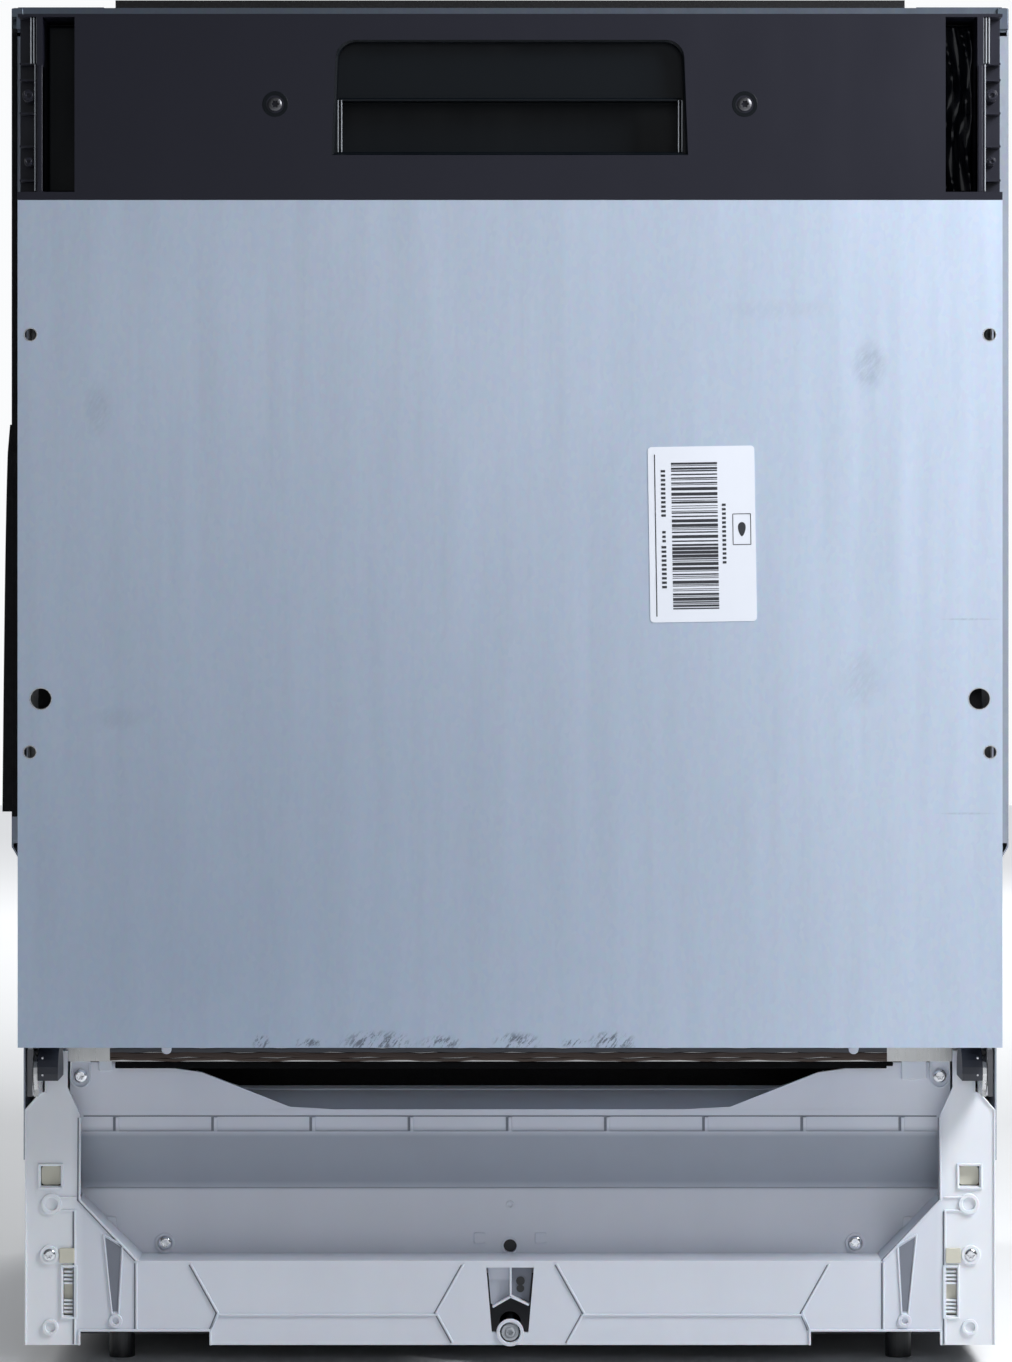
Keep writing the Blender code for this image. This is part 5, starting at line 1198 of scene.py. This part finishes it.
def lower_rack():
    """A wire basket in place of the coarse rack, with its tines, wheel carriers and handle."""
    low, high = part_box("lower_rack")
    inner_low = Vector((-0.2455, low.y + 0.0025, 0.2365))
    inner_high = Vector((0.2455, high.y - 0.0025, high.z - 0.0025))
    lines = rack_lines(inner_low, inner_high, 0.046, (inner_low.z, inner_low.z + 0.062, inner_high.z), 0.02)
    frame_wires = wire("lower_rack_wires", lines, 0.0021, COATING, "lower_rack")
    tines = tine_rows((-0.2, -0.14, -0.085, -0.03, 0.03, 0.085), inner_low.z, 0.068, (-0.165, 0.215), 0.027,
                      0.008)
    tines += tine_rows((0.155, 0.205), inner_low.z, 0.06, (0.05, 0.215), 0.027, 0.008)
    wire("lower_rack_tines", tines, 0.0015, COATING, "lower_rack", 2)
    hangers = bmesh.new()
    for number in (1, 2, 3, 4):
        wheel_low, wheel_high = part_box(f"rack_wheel_{number}")
        middle = (wheel_low + wheel_high) / 2
        side = 1 if middle.x > 0 else -1
        inner_x = middle.x - side * 0.0066
        outline = [(middle.y - 0.02, inner_low.z + 0.014), (middle.y + 0.02, inner_low.z + 0.014),
                   (middle.y + 0.007, middle.z - 0.004), (middle.y - 0.007, middle.z - 0.004)]
        add_prism(hangers, outline, *sorted((inner_x, inner_x - side * 0.004)), "X")
        add_rod(hangers, (inner_x, middle.y, middle.z), (middle.x + side * 0.0056, middle.y, middle.z),
                0.0026)
        far = (inner_x + side * 0.009, middle.y + 0.02, inner_low.z + 0.017)
        add_box(hangers, (inner_x, middle.y - 0.02, inner_low.z + 0.01), far)
    piece("lower_rack_wheel_carriers", hangers, GREY, "lower_rack", 0.0008)
    grip = bmesh.new()
    add_box(grip, (-0.06, low.y - 0.003, high.z - 0.032), (0.06, low.y + 0.008, high.z - 0.014))
    piece("lower_rack_handle", grip, GREY, "lower_rack", 0.0035)
    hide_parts("lower_rack")


def upper_rack():
    """A wire basket in place of the coarse rack, with its tines, cup shelves, feed, runners and handle."""
    low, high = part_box("upper_rack")
    floor = 0.532
    inner_low = Vector((-0.2515, low.y + 0.0025, floor))
    inner_high = Vector((0.2515, high.y - 0.0025, high.z - 0.0025))
    lines = rack_lines(inner_low, inner_high, 0.046, (floor, floor + 0.055, inner_high.z), 0.016)
    frame_wires = wire("upper_rack_wires", lines, 0.002, COATING, "upper_rack")
    tines = tine_rows((-0.185, -0.125, 0.125, 0.185), floor, 0.045, (-0.16, 0.215), 0.03, -0.006)
    wire("upper_rack_tines", tines, 0.0014, COATING, "upper_rack", 2)
    shelves = bmesh.new()
    for side in SIDES:
        for i in range(6):
            y = -0.15 + 0.058 * i
            add_box(shelves, (side * 0.249, y, floor + 0.079), (side * 0.16, y + 0.006, floor + 0.0815))
        for share in (0.0, 0.5, 1.0):
            x = side * (0.16 + 0.085 * share)
            add_box(shelves, (x - 0.0025, -0.15, floor + 0.0785), (x + 0.0025, 0.146, floor + 0.082))
    piece("cup_shelves", shelves, GREY, "upper_rack", 0.0006)
    feed = bmesh.new()
    add_rod(feed, (0, 0.02, 0.5085), (0, 0.02, floor + 0.006), 0.017, 0.019)
    add_rod(feed, (0, 0.02, 0.5), (0, 0.02, 0.5085), 0.006, 0.006)
    add_box(feed, (-0.013, 0.02, floor - 0.0075), (0.013, high.y, floor + 0.006))
    piece("upper_arm_feed", feed, GREY, "upper_rack", 0.003)
    runners = bmesh.new()
    for side in SIDES:
        for y in (-0.15, 0.19):
            add_box(runners, (side * 0.2525, y - 0.018, 0.606), (side * 0.256, y + 0.018, 0.634))
            inner, outer = (0.2525, 0.258) if side > 0 else (0.2565, 0.2525)
            add_box(runners, (side * inner, y - 0.006, 0.612), (side * outer, y + 0.006, 0.628))
    piece("upper_rack_runners", runners, GREY, "upper_rack", 0.0008)
    grip = bmesh.new()
    add_box(grip, (-0.06, low.y - 0.003, high.z - 0.029), (0.06, low.y + 0.008, high.z - 0.012))
    piece("upper_rack_handle", grip, GREY, "upper_rack", 0.0035)
    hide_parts("upper_rack")


def spray_details():
    """Jets along the two arms."""
    for name in ("lower_spray_arm", "upper_spray_arm"):
        low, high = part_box(name)
        middle_y = (low.y + high.y) / 2
        bm = bmesh.new()
        dark = bmesh.new()
        for x in (-0.175, -0.14, -0.104, -0.066, 0.06, 0.098, 0.132, 0.166):
            y = middle_y + (0.006 if x > 0 else -0.006)
            base = high.z - 0.006
            add_rod(bm, (x, y, base), (x, y, high.z - 0.0035), 0.0052, 0.0042)
            # painted shade: a black disc in the mouth of each jet
            add_rod(dark, (x, y, high.z - 0.0036), (x, y, high.z - 0.0031), 0.0018)
        piece(f"{name}_jets", bm, GREY, name, 0.0004)
        piece(f"{name}_jet_hole_shade", dark, BLACK, name)


def tub_details():
    """Pressed ribs in the side walls and the mesh round the filter."""
    ribs = []
    for side in SIDES:
        x = side * 0.269
        for z in (0.33, 0.42, 0.7):
            ribs.append(bend([(x, -0.17, z), (x, 0.22, z)], 0.01))
    wire("tub_wall_beads", ribs, 0.0018, STAINLESS, "cabinet")
    plate_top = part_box("filter_plate")[1].z
    # painted shade: black discs for the holes of the mesh round the filter
    holes = bmesh.new()
    filter_low, filter_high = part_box("micro_filter")
    centre = ((filter_low.x + filter_high.x) / 2, (filter_low.y + filter_high.y) / 2)
    pitch = 0.0052
    for i in range(-14, 15):
        for j in range(-14, 15):
            u, v = i * pitch + (j % 2) * pitch / 2, j * pitch * 0.87
            reach = math.hypot(u, v)
            if 0.049 < reach < 0.066:
                x, y = centre[0] + u, centre[1] + v
                add_rod(holes, (x, y, plate_top - 0.0002), (x, y, plate_top + 0.0002), 0.0014, segments=8)
    piece("filter_plate_hole_shade", holes, BLACK, "cabinet")


def basket_details():
    """Slots down the cutlery basket's walls."""
    low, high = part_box("cutlery_basket")
    # painted shade: dark boxes stand for the openings of the slots
    slots = bmesh.new()
    y = low.y + 0.01
    while y < high.y - 0.01:
        for v in (0.016, 0.046, 0.076):
            for x, out in ((low.x, -0.0002), (high.x, 0.0002)):
                add_box(slots, (x - out * 2, y, low.z + v), (x + out, y + 0.0042, low.z + v + 0.022))
        y += 0.011
    x = low.x + 0.008
    while x < high.x - 0.01:
        for v in (0.016, 0.046, 0.076):
            for y, out in ((low.y, -0.0002), (high.y, 0.0002)):
                add_box(slots, (x, y - out * 2, low.z + v), (x + 0.0042, y + out, low.z + v + 0.022))
        x += 0.011
    piece("cutlery_basket_slot_shade", slots, DARK, "lower_rack")


def button_details():
    """The dark ring pressed into each button's cap."""
    for name in ("power_button", "programme_button_1", "programme_button_2", "programme_button_3"):
        low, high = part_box(name)
        middle = (low + high) / 2
        bm = bmesh.new()
        inner, outer, foot, top = 0.0026, 0.0032, high.z - 0.0001, high.z + 0.00025
        angles = [2 * math.pi * i / 20 for i in range(20)]
        add_hoops(bm, [
            [(middle.x + math.cos(a) * radius, middle.y + math.sin(a) * radius, z) for a in angles]
            for radius, z in ((inner, foot), (outer, foot), (outer, top), (inner, top))
        ])
        piece(f"{name}_ring", bm, DARK, name)


# ---------------------------------------------------------------- stage


def stage():
    """The floor, the world and the studio lights."""
    floor = bpy.data.objects.new("floor", bpy.data.meshes.new("floor"))
    bm = bmesh.new()
    bmesh.ops.create_grid(bm, x_segments=1, y_segments=1, size=6.0)
    bm.to_mesh(floor.data)
    bm.free()
    bpy.context.scene.collection.objects.link(floor)
    look = Look("floor", (0.86, 0.87, 0.88), 0.7)
    look.colour(look.mix(look.spread(look.noise(1.5), 0.3, 0.7), (0.85, 0.86, 0.87), (0.88, 0.89, 0.9)))
    seen = look.node("ShaderNodeLightPath").outputs["Is Camera Ray"]
    reach = look.tree.nodes.new("ShaderNodeVectorMath")
    reach.operation = "LENGTH"
    look.feed(reach.inputs[0], look.place)
    far = look.spread(reach.outputs["Value"], 1.0, 3.2, 0.0, 0.62)
    look.feed(look.shader.inputs["Emission Strength"], look.math("MULTIPLY", seen, far))
    look.shader.inputs["Emission Color"].default_value = (0.97, 0.98, 1.0, 1)
    floor.data.materials.append(look.material)

    world = bpy.data.worlds.new("studio")
    world.use_nodes = True
    sky = world.node_tree.nodes["Background"]
    sky.inputs["Color"].default_value = (0.88, 0.93, 1.0, 1)
    sky.inputs["Strength"].default_value = 0.13
    seen = world.node_tree.nodes.new("ShaderNodeBackground")
    seen.inputs["Strength"].default_value = 1.0
    seen.inputs["Color"].default_value = (0.96, 0.97, 0.98, 1)
    path = world.node_tree.nodes.new("ShaderNodeLightPath")
    either = world.node_tree.nodes.new("ShaderNodeMixShader")
    links = world.node_tree.links
    links.new(path.outputs["Is Camera Ray"], either.inputs["Fac"])
    links.new(sky.outputs[0], either.inputs[1])
    links.new(seen.outputs[0], either.inputs[2])
    links.new(either.outputs[0], world.node_tree.nodes["World Output"].inputs["Surface"])
    bpy.context.scene.world = world
    for name, place, aim, size, power, tint in (
        ("key", (0.98, -0.74, 1.22), (0.15, -0.25, 0.5), 0.5, 25, (0.97, 0.98, 1.0)),
        ("front", (0.3, -3.6, 0.9), (0.0, -0.2, 0.35), 1.8, 8, (0.93, 0.96, 1.0)),
        ("left", (-2.6, 0.9, 1.6), (0.0, 0.0, 0.4), 1.6, 42, (1.0, 1.0, 1.0)),
        ("back", (1.2, 2.8, 2.0), (0.0, 0.2, 0.4), 1.8, 50, (1.0, 1.0, 1.0)),
    ):
        light = bpy.data.lights.new(name, "AREA")
        light.size = size
        light.energy = power
        light.color = tint
        holder = bpy.data.objects.new(name, light)
        holder.location = place
        holder.rotation_euler = (Vector(aim) - Vector(place)).to_track_quat("-Z", "Y").to_euler()
        bpy.context.scene.collection.objects.link(holder)


def camera():
    """Straight from the front, as in the photograph."""
    lens = bpy.data.cameras.new("camera")
    lens.sensor_width = 36.0
    lens.lens = 112.6
    lens.shift_x, lens.shift_y = -0.003, -0.078
    holder = bpy.data.objects.new("camera", lens)
    holder.location = (0, FASCIA_LOW.y - CAMERA_DISTANCE, CAMERA_HEIGHT)
    holder.rotation_euler = (math.radians(90), 0, 0)
    bpy.context.scene.collection.objects.link(holder)
    bpy.context.scene.camera = holder
    bpy.context.scene.view_settings.view_transform = "Standard"


stage()
camera()
door_panel_details()
label()
fascia_details()
pocket_films()
grip_details()
base_wall_details()
base_window_details()
adjuster_details()
service_panel_details()
sill_strips()
sill_details()
hinge_details()
cabinet_details()
connection_details()
lower_rack()
upper_rack()
spray_details()
tub_details()
basket_details()
button_details()
